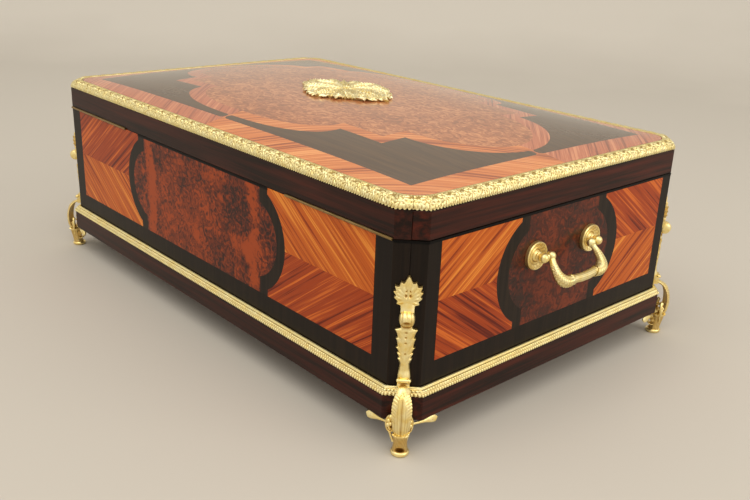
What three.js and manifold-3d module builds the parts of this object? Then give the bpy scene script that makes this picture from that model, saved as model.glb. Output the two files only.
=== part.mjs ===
// Travelling case with a gently domed, hinged lid, gilt mounts and a bail handle at each end.
// Millimetres, +Z up. The origin is on the floor under the middle of the case.
// +X runs along the case, +Y points to the back, where the lid is hinged.
import * as THREE from 'three';
import { mergeVertices } from 'three/addons/utils/BufferGeometryUtils.js';
import Module from 'manifold-3d';

const wasm = await Module();
wasm.setup();

// Clearances and cutting allowances
const fitGap = 0.3;
const seamGap = 0.4;
const cutOverrun = 2;
const weldTolerance = 0.0005;

// Case body
const caseLength = 600;
const caseWidth = 374;
const caseHeight = 150;
const cantLeg = 19;
const wallThickness = 15;
const bottomThickness = 8;
const liningThickness = 2.5;

// Plinth and the gilt moulding that lies on its ledge
const footHeight = 28;
const plinthHeight = 21;
const plinthProud = 6;
const plinthInset = 21;
const lowerMouldingHeight = 6.4;

// Lid
const lidSideHeight = 23.5;
const lidRailThickness = 15;
const boardRebateDepth = 6.5;
const boardEdgeRise = 8.5;
const domeRise = 15;
const domePower = 3;
const topMouldingWidth = 11;
const topMouldingHeight = 9.6;
const innerCornerRadius = 22;

// Strip hinges
const hingeLength = 135;
const hingeEndMargin = 19.5;
const hingeKnuckles = 5;
const barrelRadius = 1.2;
const hingeBoreRadius = 0.85;
const hingePinRadius = 0.55;
const pinProud = 0.6;
const leafThickness = 1;
const leafWidth = 12;

// Bail handles
const postSpacing = 77;
const postDrop = 39.7;
const postStandoff = 10.4;
const postBallRadius = 4.2;
const postNeckRadius = 2.6;
const shankRadius = 2.3;
const shankProud = 6;
const pivotRadius = 1.4;
const rosetteRadius = 13.4;
const rosetteHeight = 4.4;
const nutRadius = 5.4;
const nutThickness = 3.4;
const bailDrop = 24.5;
const bailHalfSpan = 28.6;
const bailSwellRadius = 4.4;
const bailBallRadius = 4.1;
const bailRestAngle = THREE.MathUtils.degToRad(38);

// Lock
const lockWidth = 54;
const lockHeight = 32;
const lockDepth = 9;
const lockPlate = 2;
const lockTopPlate = 2.4;
const hookSpacing = 24;
const hookThickness = 2.4;
const hookDepth = 4.6;
const hookReach = 9;
const hookStem = 1.6;
const hookFoot = 1.8;
const linkPlateLength = 42;
const linkPlateWidth = 7.5;
const boltTravel = 5;
const boltThickness = 1.8;
const boltBarHeight = 6;
const boltShelf = 1.2;
const fingerHeight = 1.9;
const uprightWidth = 2.4;
const fingerStart = 0.6;
const keyholeDrop = 22;
const keyholeRadius = 2.3;
const keySlotLength = 7;
const keySlotWidth = 2.2;
const escutcheonHeight = 34;
const escutcheonWidth = 26;
const escutcheonThickness = 1.6;

// Corner mounts, measured up from the underside of the plinth
const mountThickness = 4.4;
const mountBevel = 0.8;
const palmetteBase = 97.5;
const palmetteHeight = 28.5;
const knuckleCentre = 92;
const knuckleRadius = 7;
const knuckleWidth = 13;
const huskTop = 88;
const huskHalfWidth = 8.6;
const collarTop = 41.5;
const collarHeight = 4;
const collarReach = 10.6;
const collarWidth = 11;
const stemHalfWidth = 4.7;
const leafHalfWidth = 7.9;
const leafBlade = 4.4;
const leafTop = 36.5;
const leafReach = 20.2;
const lugReach = 6.5;
const toeRadius = 4.8;
const toeWidth = 12.6;
const scrollRadius = 5.4;
const scrollReach = 7.8;
const scrollWidth = 10;
const padRadius = 7.6;
const padHeight = 6.4;
const padReach = 13.9;
const armThickness = 3;
const armWidth = 8;
const armLength = 20;
const berryRadius = 3.6;

// Lid plaque
const plaqueLength = 134;
const plaqueWidth = 97;
const plaqueThickness = 2.6;
const plaqueBevel = 0.9;
const bossLength = 34;
const bossWidth = 24;
const bossHeight = 6;

// Facet counts
const roundSides = 14;
const smallSides = 10;
const rosetteSides = 20;
const bailSides = 8;

// Heights worked out from the driving sizes
const plinthTopZ = footHeight + plinthHeight;
const wallBottomZ = plinthTopZ + fitGap;
const seamZ = footHeight + caseHeight;
const lidBottomZ = seamZ + seamGap;
const lidRailTopZ = seamZ + lidSideHeight;
const boardBottomZ = lidRailTopZ - boardRebateDepth;
const topEdgeZ = lidRailTopZ + boardEdgeRise;
const domeTopZ = topEdgeZ + domeRise;
const pinY = caseWidth / 2 + pinProud;
const hingeCentreX = (caseLength - hingeLength) / 2 - hingeEndMargin;
const pinZ = seamZ + seamGap / 2;
const postZ = seamZ - postDrop;

// Materials
const finish = (color, roughness, metalness) =>
  new THREE.MeshStandardMaterial({ color, roughness, metalness });
const rosewood = finish(0x35211b, 0.25, 0);
const ebonyVeneer = finish(0x2a1e18, 0.22, 0);
const tulipwood = finish(0xb4582c, 0.22, 0);
const pine = finish(0xa98457, 0.7, 0);
const velvet = finish(0x5c1420, 0.95, 0);
const giltBrass = finish(0xd8b562, 0.3, 1);
const hingeBrass = finish(0xb79a5a, 0.35, 1);
const lockSteel = finish(0x77736c, 0.45, 1);

// Mesh and boolean helpers

// Shared vertices, no slivers of zero area and faces that point out
function weld(geometry) {
  const bare = geometry.clone();
  bare.deleteAttribute('normal');
  bare.deleteAttribute('uv');
  const merged = mergeVertices(bare, weldTolerance);
  const place = merged.attributes.position;
  const corner = (index) => new THREE.Vector3().fromBufferAttribute(place, index);
  const source = merged.index.array;
  let kept = [];
  let volume = 0;
  for (let i = 0; i < source.length; i += 3) {
    const [a, b, c] = [source[i], source[i + 1], source[i + 2]];
    if (a === b || b === c || c === a) continue;
    kept.push([a, b, c]);
    volume += corner(a).dot(corner(b).cross(corner(c)));
  }
  if (volume < 0) kept = kept.map(([a, b, c]) => [a, c, b]);
  merged.setIndex(kept.flat());
  return merged;
}

function toSolid(geometry) {
  const welded = weld(geometry);
  const vertProperties = new Float32Array(welded.attributes.position.array);
  const triVerts = new Uint32Array(welded.index.array);
  return new wasm.Manifold(new wasm.Mesh({ numProp: 3, vertProperties, triVerts }));
}

function toGeometry(solid) {
  const mesh = solid.getMesh();
  const geometry = new THREE.BufferGeometry();
  geometry.setAttribute('position', new THREE.BufferAttribute(mesh.vertProperties, 3));
  geometry.setIndex(new THREE.BufferAttribute(mesh.triVerts, 1));
  return geometry;
}

const join = (...parts) => toGeometry(parts.map(toSolid).reduce((sum, part) => sum.add(part)));
const cut = (body, ...tools) =>
  toGeometry(tools.map(toSolid).reduce((rest, tool) => rest.subtract(tool), toSolid(body)));

// A box given by its low and high corners
function block(low, high) {
  const size = high.map((value, i) => value - low[i]);
  const middle = high.map((value, i) => (value + low[i]) / 2);
  return new THREE.BoxGeometry(...size).translate(...middle);
}

// A round bar along X or Y, centred on a point
function barAlongX(radius, length, centre, sides = smallSides) {
  const bar = new THREE.CylinderGeometry(radius, radius, length, sides);
  return bar.rotateZ(Math.PI / 2).translate(...centre);
}

function barAlongY(radius, length, centre, sides = smallSides) {
  return new THREE.CylinderGeometry(radius, radius, length, sides).translate(...centre);
}

// A flat outline in plan, raised from one height to another
function raise(points, lowZ, highZ) {
  const shape = new THREE.Shape(points.map(([x, y]) => new THREE.Vector2(x, y)));
  const options = { depth: highZ - lowZ, bevelEnabled: false };
  return new THREE.ExtrudeGeometry(shape, options).translate(0, 0, lowZ);
}

// A profile of reach and height, drawn out across the mount to a width
function acrossMount(points, width, steps = 1) {
  const shape = new THREE.Shape(points.map(([reach, z]) => new THREE.Vector2(reach, z)));
  const options = { depth: width, steps, bevelEnabled: false };
  const body = new THREE.ExtrudeGeometry(shape, options).translate(0, 0, -width / 2);
  const turn = new THREE.Matrix4().makeBasis(
    new THREE.Vector3(0, 1, 0), new THREE.Vector3(0, 0, 1), new THREE.Vector3(1, 0, 0));
  return body.applyMatrix4(turn);
}

// An outline of across and height that stands out from a wall towards +Y, with softened edges
function onFace(points, thickness, bevel, holes = []) {
  const flip = ([x, z]) => new THREE.Vector2(x, -z);
  const shape = new THREE.Shape(points.map(flip));
  shape.holes = holes.map((hole) => new THREE.Path(hole.map(flip)));
  const options = {
    depth: thickness - bevel, bevelEnabled: bevel > 0, bevelThickness: bevel,
    bevelSize: bevel, bevelOffset: -bevel, bevelSegments: 1,
  };
  const plate = new THREE.ExtrudeGeometry(shape, options).rotateX(-Math.PI / 2);
  const back = block(
    [-farReach, -farReach, -farReach], [farReach, 0, farReach]);
  return cut(plate, back);
}
const farReach = caseLength;

// A skin through a row of loops with the same number of points, closed at both ends
function loft(loops) {
  const count = loops[0].length;
  const positions = loops.flat().flatMap((point) => [point.x, point.y, point.z]);
  const indices = [];
  for (let row = 0; row < loops.length - 1; row += 1) {
    for (let i = 0; i < count; i += 1) {
      const a = row * count + i;
      const b = row * count + (i + 1) % count;
      indices.push(a, b, b + count, a, b + count, a + count);
    }
  }
  indices.push(...capFaces(loops[0], 0, -1));
  indices.push(...capFaces(loops[loops.length - 1], (loops.length - 1) * count, 1));
  const skin = new THREE.BufferGeometry();
  skin.setAttribute('position', new THREE.Float32BufferAttribute(positions, 3));
  skin.setIndex(indices);
  return skin;
}

// Triangles over one loop, turned the way that the loop's own normal times a sign points
function capFaces(loop, start, sign) {
  const normal = new THREE.Vector3();
  loop.forEach((point, i) => normal.add(point.clone().cross(loop[(i + 1) % loop.length])));
  normal.normalize();
  const across = loop[1].clone().sub(loop[0]).normalize();
  const up = normal.clone().cross(across);
  const flat = loop.map((point) => new THREE.Vector2(point.dot(across), point.dot(up)));
  const faces = THREE.ShapeUtils.triangulateShape(flat, []);
  const area = ([a, b, c]) => flat[b].clone().sub(flat[a]).cross(flat[c].clone().sub(flat[a]));
  const turned = faces.map((face) => (area(face) * sign > 0 ? face : [face[0], face[2], face[1]]));
  return turned.flat().map((index) => index + start);
}

// Square of a share left over, for the fall of the dome
const leftOver = (share) => 1 - Math.abs(share) ** domePower;

// Scene graph

const travellingCase = new THREE.Group();

function addPiece(name, geometry, material, parent = travellingCase) {
  const mesh = new THREE.Mesh(weld(geometry), material);
  mesh.name = name;
  parent.add(mesh);
  return mesh;
}

// The four sides. In its own group each side faces +Y and runs along X.
const longSide = { halfLength: caseLength / 2, halfDepth: caseWidth / 2 };
const shortSide = { halfLength: caseWidth / 2, halfDepth: caseLength / 2 };
const sides = [
  { name: 'back', turn: 0, ...longSide },
  { name: 'left', turn: Math.PI / 2, ...shortSide },
  { name: 'front', turn: Math.PI, ...longSide },
  { name: 'right', turn: -Math.PI / 2, ...shortSide },
];

function addSide(suffix, side, geometry, material) {
  const mesh = addPiece(`${suffix}_${side.name}`, geometry, material);
  mesh.rotation.z = side.turn;
}

// Leg of the canted corner when the outline is moved out by an offset
const legAt = (offset) => cantLeg + offset * (2 - Math.SQRT2);
const mitreSlack = fitGap / Math.SQRT2;

// Plan of one rail, mitred at its ends, with the outer corners planed to the cant
function railPlan(side, outer, inner) {
  const leg = legAt(outer);
  const u = side.halfLength + outer;
  const v = side.halfDepth + outer;
  const mitreU = u - leg / 2 - mitreSlack;
  const innerU = side.halfLength + inner - mitreSlack;
  const innerV = side.halfDepth + inner;
  return [
    [leg - u, v], [u - leg, v], [mitreU, v - leg / 2],
    [innerU, innerV], [-innerU, innerV], [-mitreU, v - leg / 2],
  ];
}

// Plinth, walls and bottom

for (const side of sides) {
  const plan = railPlan(side, plinthProud, -plinthInset);
  addSide('plinth_rail', side, raise(plan, footHeight, plinthTopZ), rosewood);
}

const wallBlank = (side) => raise(railPlan(side, 0, -wallThickness), wallBottomZ, seamZ);

// Room for a hinge: the barrel's groove and the let-in of one leaf
function hingeRelief(centreX, lowZ, highZ) {
  const length = hingeLength + 2 * fitGap;
  const groove = barAlongX(barrelRadius + fitGap, length, [centreX, pinY, pinZ]);
  const letInY = pinY - leafWidth - fitGap;
  const low = [centreX - length / 2, letInY, lowZ];
  const high = [centreX + length / 2, pinY + cutOverrun, highZ];
  return [groove, block(low, high)];
}

function backWall(side) {
  const lowZ = seamZ - leafThickness - fitGap;
  const reliefs = [-hingeCentreX, hingeCentreX].flatMap(
    (x) => hingeRelief(x, lowZ, seamZ + cutOverrun));
  return cut(wallBlank(side), ...reliefs);
}

function endWall(side) {
  const length = wallThickness + 2 * cutOverrun;
  const middle = side.halfDepth - wallThickness / 2;
  const holes = [-postSpacing / 2, postSpacing / 2].map(
    (u) => barAlongY(shankRadius + fitGap, length, [u, middle, postZ]));
  return cut(wallBlank(side), ...holes);
}

// Keyhole: a round eye with a slot below it, through from one depth to another
function keyhole(nearY, farY, spare) {
  const z = seamZ - keyholeDrop;
  const length = farY - nearY;
  const eye = barAlongY(keyholeRadius + spare, length, [0, (nearY + farY) / 2, z]);
  const halfSlot = keySlotWidth / 2 + spare;
  const slot = block([-halfSlot, nearY, z - keySlotLength - spare], [halfSlot, farY, z]);
  return join(eye, slot);
}

const lockInnerY = caseWidth / 2 - wallThickness;
const lockOuterY = lockInnerY + lockDepth;

function frontWall(side) {
  const half = lockWidth / 2 + fitGap;
  const mortise = block(
    [-half, lockInnerY - cutOverrun, seamZ - lockHeight - fitGap],
    [half, lockOuterY + fitGap, seamZ + cutOverrun]);
  const hole = keyhole(lockInnerY, side.halfDepth + cutOverrun, fitGap);
  return cut(wallBlank(side), mortise, hole);
}

const wallMakers = { back: backWall, left: endWall, front: frontWall, right: endWall };
for (const side of sides) addSide('case_wall', side, wallMakers[side.name](side), ebonyVeneer);

// A flat panel that fills the plan inside the walls
function insidePanel(thickness, lowZ) {
  const halfX = caseLength / 2 - wallThickness - fitGap;
  const halfY = caseWidth / 2 - wallThickness - fitGap;
  return block([-halfX, -halfY, lowZ], [halfX, halfY, lowZ + thickness]);
}

addPiece('bottom_board', insidePanel(bottomThickness, wallBottomZ), pine);
const baseLiningZ = wallBottomZ + bottomThickness + fitGap;
addPiece('base_lining', insidePanel(liningThickness, baseLiningZ), velvet);

// Lower moulding: reach as a share of the ledge, height as a share of the moulding
const lowerProfileShares = [
  [0, 0], [1.1, 0], [1.16, 0.1], [1.02, 0.3], [1.0, 0.5], [0.72, 0.62], [0.62, 0.78], [0.42, 0.82],
  [0.36, 1], [0, 1],
];

function lowerMoulding(side) {
  const profile = lowerProfileShares.map(([out, up]) => [
    fitGap + out * (plinthProud - fitGap), wallBottomZ + up * lowerMouldingHeight]);
  const loopAt = (place) => profile.map(([offset, z]) => {
    const [u, v] = place(offset);
    return new THREE.Vector3(u, v, z);
  });
  const mitre = (sign) => (offset) => {
    const half = legAt(offset) / 2;
    return [sign * (side.halfLength + offset - half - mitreSlack), side.halfDepth + offset - half];
  };
  const vertex = (sign) => (offset) =>
    [sign * (side.halfLength + offset - legAt(offset)), side.halfDepth + offset];
  return loft([mitre(-1), vertex(-1), vertex(1), mitre(1)].map(loopAt));
}

for (const side of sides) addSide('lower_moulding', side, lowerMoulding(side), giltBrass);

// Lid

const lidRailBlank = (side) => join(
  raise(railPlan(side, 0, -lidRailThickness), lidBottomZ, boardBottomZ),
  raise(railPlan(side, 0, -topMouldingWidth), boardBottomZ, lidRailTopZ));

function lidRailBack(side) {
  const highZ = lidBottomZ + leafThickness + fitGap;
  const reliefs = [-hingeCentreX, hingeCentreX].flatMap(
    (x) => hingeRelief(x, lidBottomZ - cutOverrun, highZ));
  return cut(lidRailBlank(side), ...reliefs);
}

const linkPlateLowY = lockInnerY + (lockDepth - linkPlateWidth) / 2;

function lidRailFront(side) {
  const half = linkPlateLength / 2 + fitGap;
  const recess = block(
    [-half, linkPlateLowY - fitGap, lidBottomZ - cutOverrun],
    [half, linkPlateLowY + linkPlateWidth + fitGap, lidBottomZ + leafThickness + fitGap]);
  return cut(lidRailBlank(side), recess);
}

const railMakers = { back: lidRailBack, front: lidRailFront, left: lidRailBlank, right: lidRailBlank };
for (const side of sides) addSide('lid_rail', side, railMakers[side.name](side), rosewood);

// Outline of the lid board: straight sides with rounded corners
const boardHalfX = caseLength / 2 - topMouldingWidth - fitGap;
const boardHalfY = caseWidth / 2 - topMouldingWidth - fitGap;
const boardCornerRadius = innerCornerRadius - fitGap;
const cornerSteps = 4;
const longSteps = 8;
const shortSteps = 5;

function boardOutline() {
  const flatX = boardHalfX - boardCornerRadius;
  const flatY = boardHalfY - boardCornerRadius;
  const corners = [[flatX, flatY], [-flatX, flatY], [-flatX, -flatY], [flatX, -flatY]];
  const points = [];
  corners.forEach(([x, y], quarter) => {
    for (let step = 0; step <= cornerSteps; step += 1) {
      const angle = (quarter + step / cornerSteps) * Math.PI / 2;
      points.push([x + boardCornerRadius * Math.cos(angle), y + boardCornerRadius * Math.sin(angle)]);
    }
    const from = points[points.length - 1];
    const next = corners[(quarter + 1) % corners.length];
    const along = quarter % 2 === 0 ? longSteps : shortSteps;
    for (let step = 1; step < along; step += 1) {
      const share = step / along;
      const isLong = quarter % 2 === 0;
      const x = isLong ? from[0] + share * (next[0] - from[0]) : from[0];
      const y = isLong ? from[1] : from[1] + share * (next[1] - from[1]);
      points.push([x, y]);
    }
  });
  return points;
}

const domeZ = (x, y) => topEdgeZ + domeRise * leftOver(x / boardHalfX) * leftOver(y / boardHalfY);
const ringShares = [1, 0.92, 0.76, 0.54, 0.3, 0.06];

function lidBoard() {
  const outline = boardOutline();
  const underside = outline.map(([x, y]) => new THREE.Vector3(x, y, boardBottomZ + fitGap));
  const rings = ringShares.map((share) => outline.map(
    ([x, y]) => new THREE.Vector3(x * share, y * share, domeZ(x * share, y * share))));
  return loft([underside, ...rings]);
}

addPiece('lid_board', lidBoard(), tulipwood);
const lidLiningTopZ = boardBottomZ;
const lidLining = insidePanel(liningThickness, lidLiningTopZ - liningThickness);
addPiece('lid_lining', lidLining, velvet);

// Top moulding: across from the outer to the inner edge, and up, as shares of its size
const topProfileShares = [
  [0, 0], [-0.07, 0.12], [-0.05, 0.3], [0.08, 0.56], [0.3, 0.82], [0.55, 0.98], [0.74, 1],
  [0.9, 0.98], [1, 0.92], [1, 0],
];
const cornerTurnShares = [0, 0.25, 0.5, 0.75, 1];

function topMoulding(side) {
  const u = side.halfLength;
  const v = side.halfDepth;
  const startU = u - topMouldingWidth - innerCornerRadius;
  const centreV = v - topMouldingWidth - innerCornerRadius;
  const middle = [u - cantLeg / 2, v - cantLeg / 2];
  const vertex = [u - cantLeg, v];
  const between = (a, b, share) => [a[0] + share * (b[0] - a[0]), a[1] + share * (b[1] - a[1])];
  const half = cornerTurnShares.map((share) => {
    const angle = share * Math.PI / 4;
    const inner = [
      startU + innerCornerRadius * Math.sin(angle), centreV + innerCornerRadius * Math.cos(angle)];
    const outer = share <= 0.5
      ? between([startU, v], vertex, 2 * share)
      : between(vertex, middle, 2 * share - 1);
    return { inner, outer };
  });
  const slack = (x, share) => x - (share === 1 ? mitreSlack : 0);
  const stations = half.map(({ inner, outer }, i) => ({
    inner: [slack(inner[0], cornerTurnShares[i]), inner[1]],
    outer: [slack(outer[0], cornerTurnShares[i]), outer[1]],
  }));
  const mirrored = [...stations].reverse().map(({ inner, outer }) => ({
    inner: [-inner[0], inner[1]], outer: [-outer[0], outer[1]] }));
  const loops = [...mirrored, ...stations].map(({ inner, outer }) => topProfileShares.map(
    ([acrossShare, upShare]) => {
      const [x, y] = between(outer, inner, acrossShare);
      return new THREE.Vector3(x, y, lidRailTopZ + fitGap + upShare * topMouldingHeight);
    }));
  return loft(loops);
}

for (const side of sides) addSide('top_moulding', side, topMoulding(side), giltBrass);

// Hinges: knuckles alternate between the lower and the upper leaf

const knuckleLength = hingeLength / hingeKnuckles;

function hingeLeaf(isLower) {
  const own = [];
  const others = [];
  for (let i = 0; i < hingeKnuckles; i += 1) {
    const x = (i + 0.5) * knuckleLength - hingeLength / 2;
    const isOwn = (i % 2 === 0) === isLower;
    if (isOwn) own.push(barAlongX(barrelRadius, knuckleLength - fitGap, [x, pinY, pinZ]));
    else {
      const reach = knuckleLength + fitGap;
      others.push(barAlongX(barrelRadius + fitGap, reach, [x, pinY, pinZ]));
    }
  }
  const lowZ = isLower ? seamZ - leafThickness : lidBottomZ;
  const halfLength = (hingeLength - fitGap) / 2;
  const plate = block([-halfLength, pinY - leafWidth, lowZ], [halfLength, pinY, lowZ + leafThickness]);
  const bore = barAlongX(hingeBoreRadius, hingeLength + cutOverrun, [0, pinY, pinZ]);
  return join(cut(plate, ...others, bore), ...own.map((knuckle) => cut(knuckle, bore)));
}

const hingePin = barAlongX(hingePinRadius, hingeLength - fitGap, [0, pinY, pinZ]);
for (const [name, x] of [['left', -hingeCentreX], ['right', hingeCentreX]]) {
  const hinge = new THREE.Group();
  hinge.position.x = x;
  travellingCase.add(hinge);
  addPiece(`hinge_lower_leaf_${name}`, hingeLeaf(true), hingeBrass, hinge);
  addPiece(`hinge_upper_leaf_${name}`, hingeLeaf(false), hingeBrass, hinge);
  addPiece(`hinge_pin_${name}`, hingePin, hingeBrass, hinge);
}

// Lock, link plate and escutcheon, made facing +Y and turned to the front

const lockGroup = new THREE.Group();
lockGroup.rotation.z = Math.PI;
travellingCase.add(lockGroup);
const hookCentreY = lockInnerY + lockDepth / 2;
const hookLowY = hookCentreY - hookDepth / 2;
const boltBarZ = seamZ - hookReach - boltThickness;

function lockCase() {
  const body = block(
    [-lockWidth / 2, lockInnerY, seamZ - lockHeight], [lockWidth / 2, lockOuterY, seamZ]);
  const room = block(
    [lockPlate - lockWidth / 2, lockInnerY + lockPlate / 2, seamZ - lockHeight + lockPlate],
    [lockWidth / 2 - lockPlate, lockOuterY - lockPlate / 2, seamZ - lockTopPlate]);
  const spare = 2 * fitGap;
  const slots = [-hookSpacing / 2, hookSpacing / 2].map((x) => block(
    [x - hookThickness / 2 - spare, hookCentreY - hookDepth / 2 - spare, seamZ - lockTopPlate - cutOverrun],
    [x + hookThickness / 2 + spare, hookCentreY + hookDepth / 2 + spare, seamZ + cutOverrun]));
  const hollow = cut(body, room, ...slots, keyhole(hookCentreY, lockOuterY + cutOverrun, 0));
  const shelfTop = boltBarZ - boltBarHeight - fitGap;
  const shelf = block(
    [lockPlate / 2 - lockWidth / 2, lockInnerY + lockPlate / 4, shelfTop - boltShelf],
    [lockWidth / 2 - lockPlate / 2, lockOuterY - lockPlate / 4, shelfTop]);
  return join(hollow, shelf);
}

// Upright slots through the link plate for the tenons of the hooks
function linkPlate() {
  const plate = block(
    [-linkPlateLength / 2, linkPlateLowY, lidBottomZ],
    [linkPlateLength / 2, linkPlateLowY + linkPlateWidth, lidBottomZ + leafThickness]);
  const slots = [-hookSpacing / 2, hookSpacing / 2].map((x) => block(
    [x - hookThickness / 2 - fitGap, hookLowY - fitGap, lidBottomZ - cutOverrun],
    [x + hookThickness / 2 + fitGap, hookLowY + hookStem + fitGap, lidBottomZ + cutOverrun]));
  return cut(plate, ...slots);
}

// A hook: a stem that is riveted through the link plate, with a foot that the bolt slides over
function linkHook(x) {
  const stem = block(
    [x - hookThickness / 2, hookLowY, seamZ - hookReach],
    [x + hookThickness / 2, hookLowY + hookStem, lidBottomZ + leafThickness]);
  const foot = block(
    [x - hookThickness / 2, hookLowY, seamZ - hookReach],
    [x + hookThickness / 2, hookLowY + hookDepth, seamZ - hookReach + hookFoot]);
  return join(stem, foot);
}

// The bolt is a bar with two fingers that slide sideways over the feet of the hooks
function lockBolt() {
  const lowY = hookLowY + hookStem + fitGap;
  const highY = lowY + boltThickness;
  const fingerZ = seamZ - hookReach + hookFoot + fitGap;
  const fingers = [-hookSpacing / 2, hookSpacing / 2].map((x) => {
    const tip = x - hookThickness / 2 - fingerStart;
    const root = x - hookThickness / 2 - boltTravel - fitGap;
    const upright = block(
      [root - uprightWidth, lowY, boltBarZ - boltBarHeight / 2], [root, highY, fingerZ + fingerHeight]);
    const finger = block(
      [root - uprightWidth / 2, lowY, fingerZ], [tip, highY, fingerZ + fingerHeight]);
    return { shape: join(upright, finger), low: root - uprightWidth, high: root };
  });
  const bar = block(
    [fingers[0].low, lowY, boltBarZ - boltBarHeight], [fingers[1].high, highY, boltBarZ]);
  return join(bar, ...fingers.map(({ shape }) => shape));
}

addPiece('lock_case', lockCase(), lockSteel, lockGroup);
addPiece('lock_bolt', lockBolt(), lockSteel, lockGroup);
addPiece('link_plate', linkPlate(), hingeBrass, lockGroup);
addPiece('link_hook_left', linkHook(hookSpacing / 2), hingeBrass, lockGroup);
addPiece('link_hook_right', linkHook(-hookSpacing / 2), hingeBrass, lockGroup);

// A lobed outline from a radius that swells and pinches as it goes round
function lobedOutline(halfAcross, halfUp, lobes, depthShare, squareness, steps) {
  const points = [];
  for (let i = 0; i < steps; i += 1) {
    const angle = (i / steps) * 2 * Math.PI;
    const cosine = Math.abs(Math.cos(angle)) ** squareness;
    const sine = Math.abs(Math.sin(angle)) ** squareness;
    const swell = (cosine + sine) ** (-1 / squareness);
    const lobe = 1 - depthShare * Math.abs(Math.sin(lobes * angle / 2));
    const radius = swell * lobe;
    points.push([halfAcross * radius * Math.cos(angle), halfUp * radius * Math.sin(angle)]);
  }
  return points;
}

function escutcheon() {
  const outline = lobedOutline(escutcheonWidth / 2, escutcheonHeight / 2, 8, 0.12, 1.6, 32);
  const centreZ = seamZ - keyholeDrop - keySlotLength / 2;
  const plate = onFace(outline, escutcheonThickness, escutcheonThickness / 3);
  const faceY = caseWidth / 2 + fitGap;
  const placed = plate.translate(0, faceY, centreZ);
  return cut(placed, keyhole(faceY - cutOverrun, faceY + escutcheonThickness + cutOverrun, 0));
}

addPiece('keyhole_escutcheon', escutcheon(), giltBrass, lockGroup);

// Bail handles, made on a side that faces +Y

const faceAt = (side) => side.halfDepth;

// A turned piece whose axis stands out from the face
function turnedOut(profile, sideCount) {
  const points = profile.map(([radius, out]) => new THREE.Vector2(radius, out));
  return new THREE.LatheGeometry(points, sideCount);
}

const rosetteShares = [
  [1, 0], [1.02, 0.34], [0.94, 0.76], [0.82, 0.42], [0.7, 0.4], [0.6, 0.68], [0.48, 0.4], [0.34, 1],
];

function rosette() {
  const hole = shankRadius + fitGap;
  const profile = rosetteShares.map(([r, h]) => [r * rosetteRadius, fitGap + h * rosetteHeight]);
  const loop = [[hole, fitGap], ...profile, [hole, fitGap + rosetteHeight], [hole, fitGap]];
  return turnedOut(loop, rosetteSides);
}

function bailPost() {
  const inner = -wallThickness - shankProud;
  const shoulder = fitGap + rosetteHeight + fitGap;
  const profile = [
    [0, inner], [shankRadius, inner], [shankRadius, shoulder], [postNeckRadius * 1.5, shoulder],
    [postNeckRadius * 1.5, shoulder + postNeckRadius / 2], [postNeckRadius, shoulder + postNeckRadius],
    [0, postStandoff],
  ];
  const ball = new THREE.SphereGeometry(postBallRadius, smallSides, smallSides / 2);
  const head = join(turnedOut(profile, smallSides), ball.translate(0, postStandoff, 0));
  const bore = barAlongX(pivotRadius + fitGap, 4 * postBallRadius, [0, postStandoff, 0]);
  return cut(head, bore);
}

function squareNut() {
  const shape = new THREE.Shape();
  for (let i = 0; i < 4; i += 1) {
    const angle = (i + 0.5) * Math.PI / 2;
    const point = [nutRadius * Math.SQRT1_2 * 2 ** 0.5 * Math.cos(angle), nutRadius * Math.sin(angle)];
    if (i === 0) shape.moveTo(...point);
    else shape.lineTo(...point);
  }
  shape.closePath();
  const hole = new THREE.Path();
  hole.absarc(0, 0, shankRadius + fitGap, 0, 2 * Math.PI, true);
  shape.holes.push(hole);
  const options = { depth: nutThickness, bevelEnabled: false, curveSegments: smallSides };
  return new THREE.ExtrudeGeometry(shape, options).rotateX(Math.PI / 2);
}

// Half of the bail, from its ball end to the middle of the grip: across, down and thickness
const bailShares = [
  [1.0, 0.06, 0.62], [1.04, 0.26, 0.62], [1.07, 0.5, 0.86], [1.04, 0.72, 1.1],
  [0.96, 0.89, 1.24], [0.83, 1.0, 1.2], [0.68, 1.03, 0.96], [0.6, 1.02, 0.8], [0.56, 1.01, 1.02],
  [0.51, 1.01, 1.02], [0.48, 1.0, 0.78],
];

function bail() {
  const half = bailShares.map(([acrossShare, downShare, thickShare]) => ({
    x: acrossShare * bailHalfSpan, z: -downShare * bailDrop, radius: thickShare * bailSwellRadius }));
  const whole = [...half, ...[...half].reverse().map(({ x, z, radius }) => ({ x: -x, z, radius }))];
  const loops = whole.map(({ x, z, radius }, i) => {
    const before = whole[Math.max(i - 1, 0)];
    const after = whole[Math.min(i + 1, whole.length - 1)];
    const along = new THREE.Vector2(after.x - before.x, after.z - before.z).normalize();
    return Array.from({ length: bailSides }, (_, k) => {
      const angle = (k / bailSides) * 2 * Math.PI;
      const side = radius * Math.cos(angle);
      return new THREE.Vector3(x - along.y * side, radius * Math.sin(angle), z + along.x * side);
    });
  });
  const balls = [-1, 1].map((sign) => new THREE.SphereGeometry(bailBallRadius, smallSides, smallSides / 2)
    .translate(sign * bailHalfSpan, 0, 0));
  const stubLength = postSpacing / 2 + postBallRadius / 2 - bailHalfSpan;
  const stubs = [-1, 1].map((sign) =>
    barAlongX(pivotRadius, stubLength, [sign * (bailHalfSpan + stubLength / 2), 0, 0]));
  return join(loft(loops), ...balls, ...stubs);
}

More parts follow.
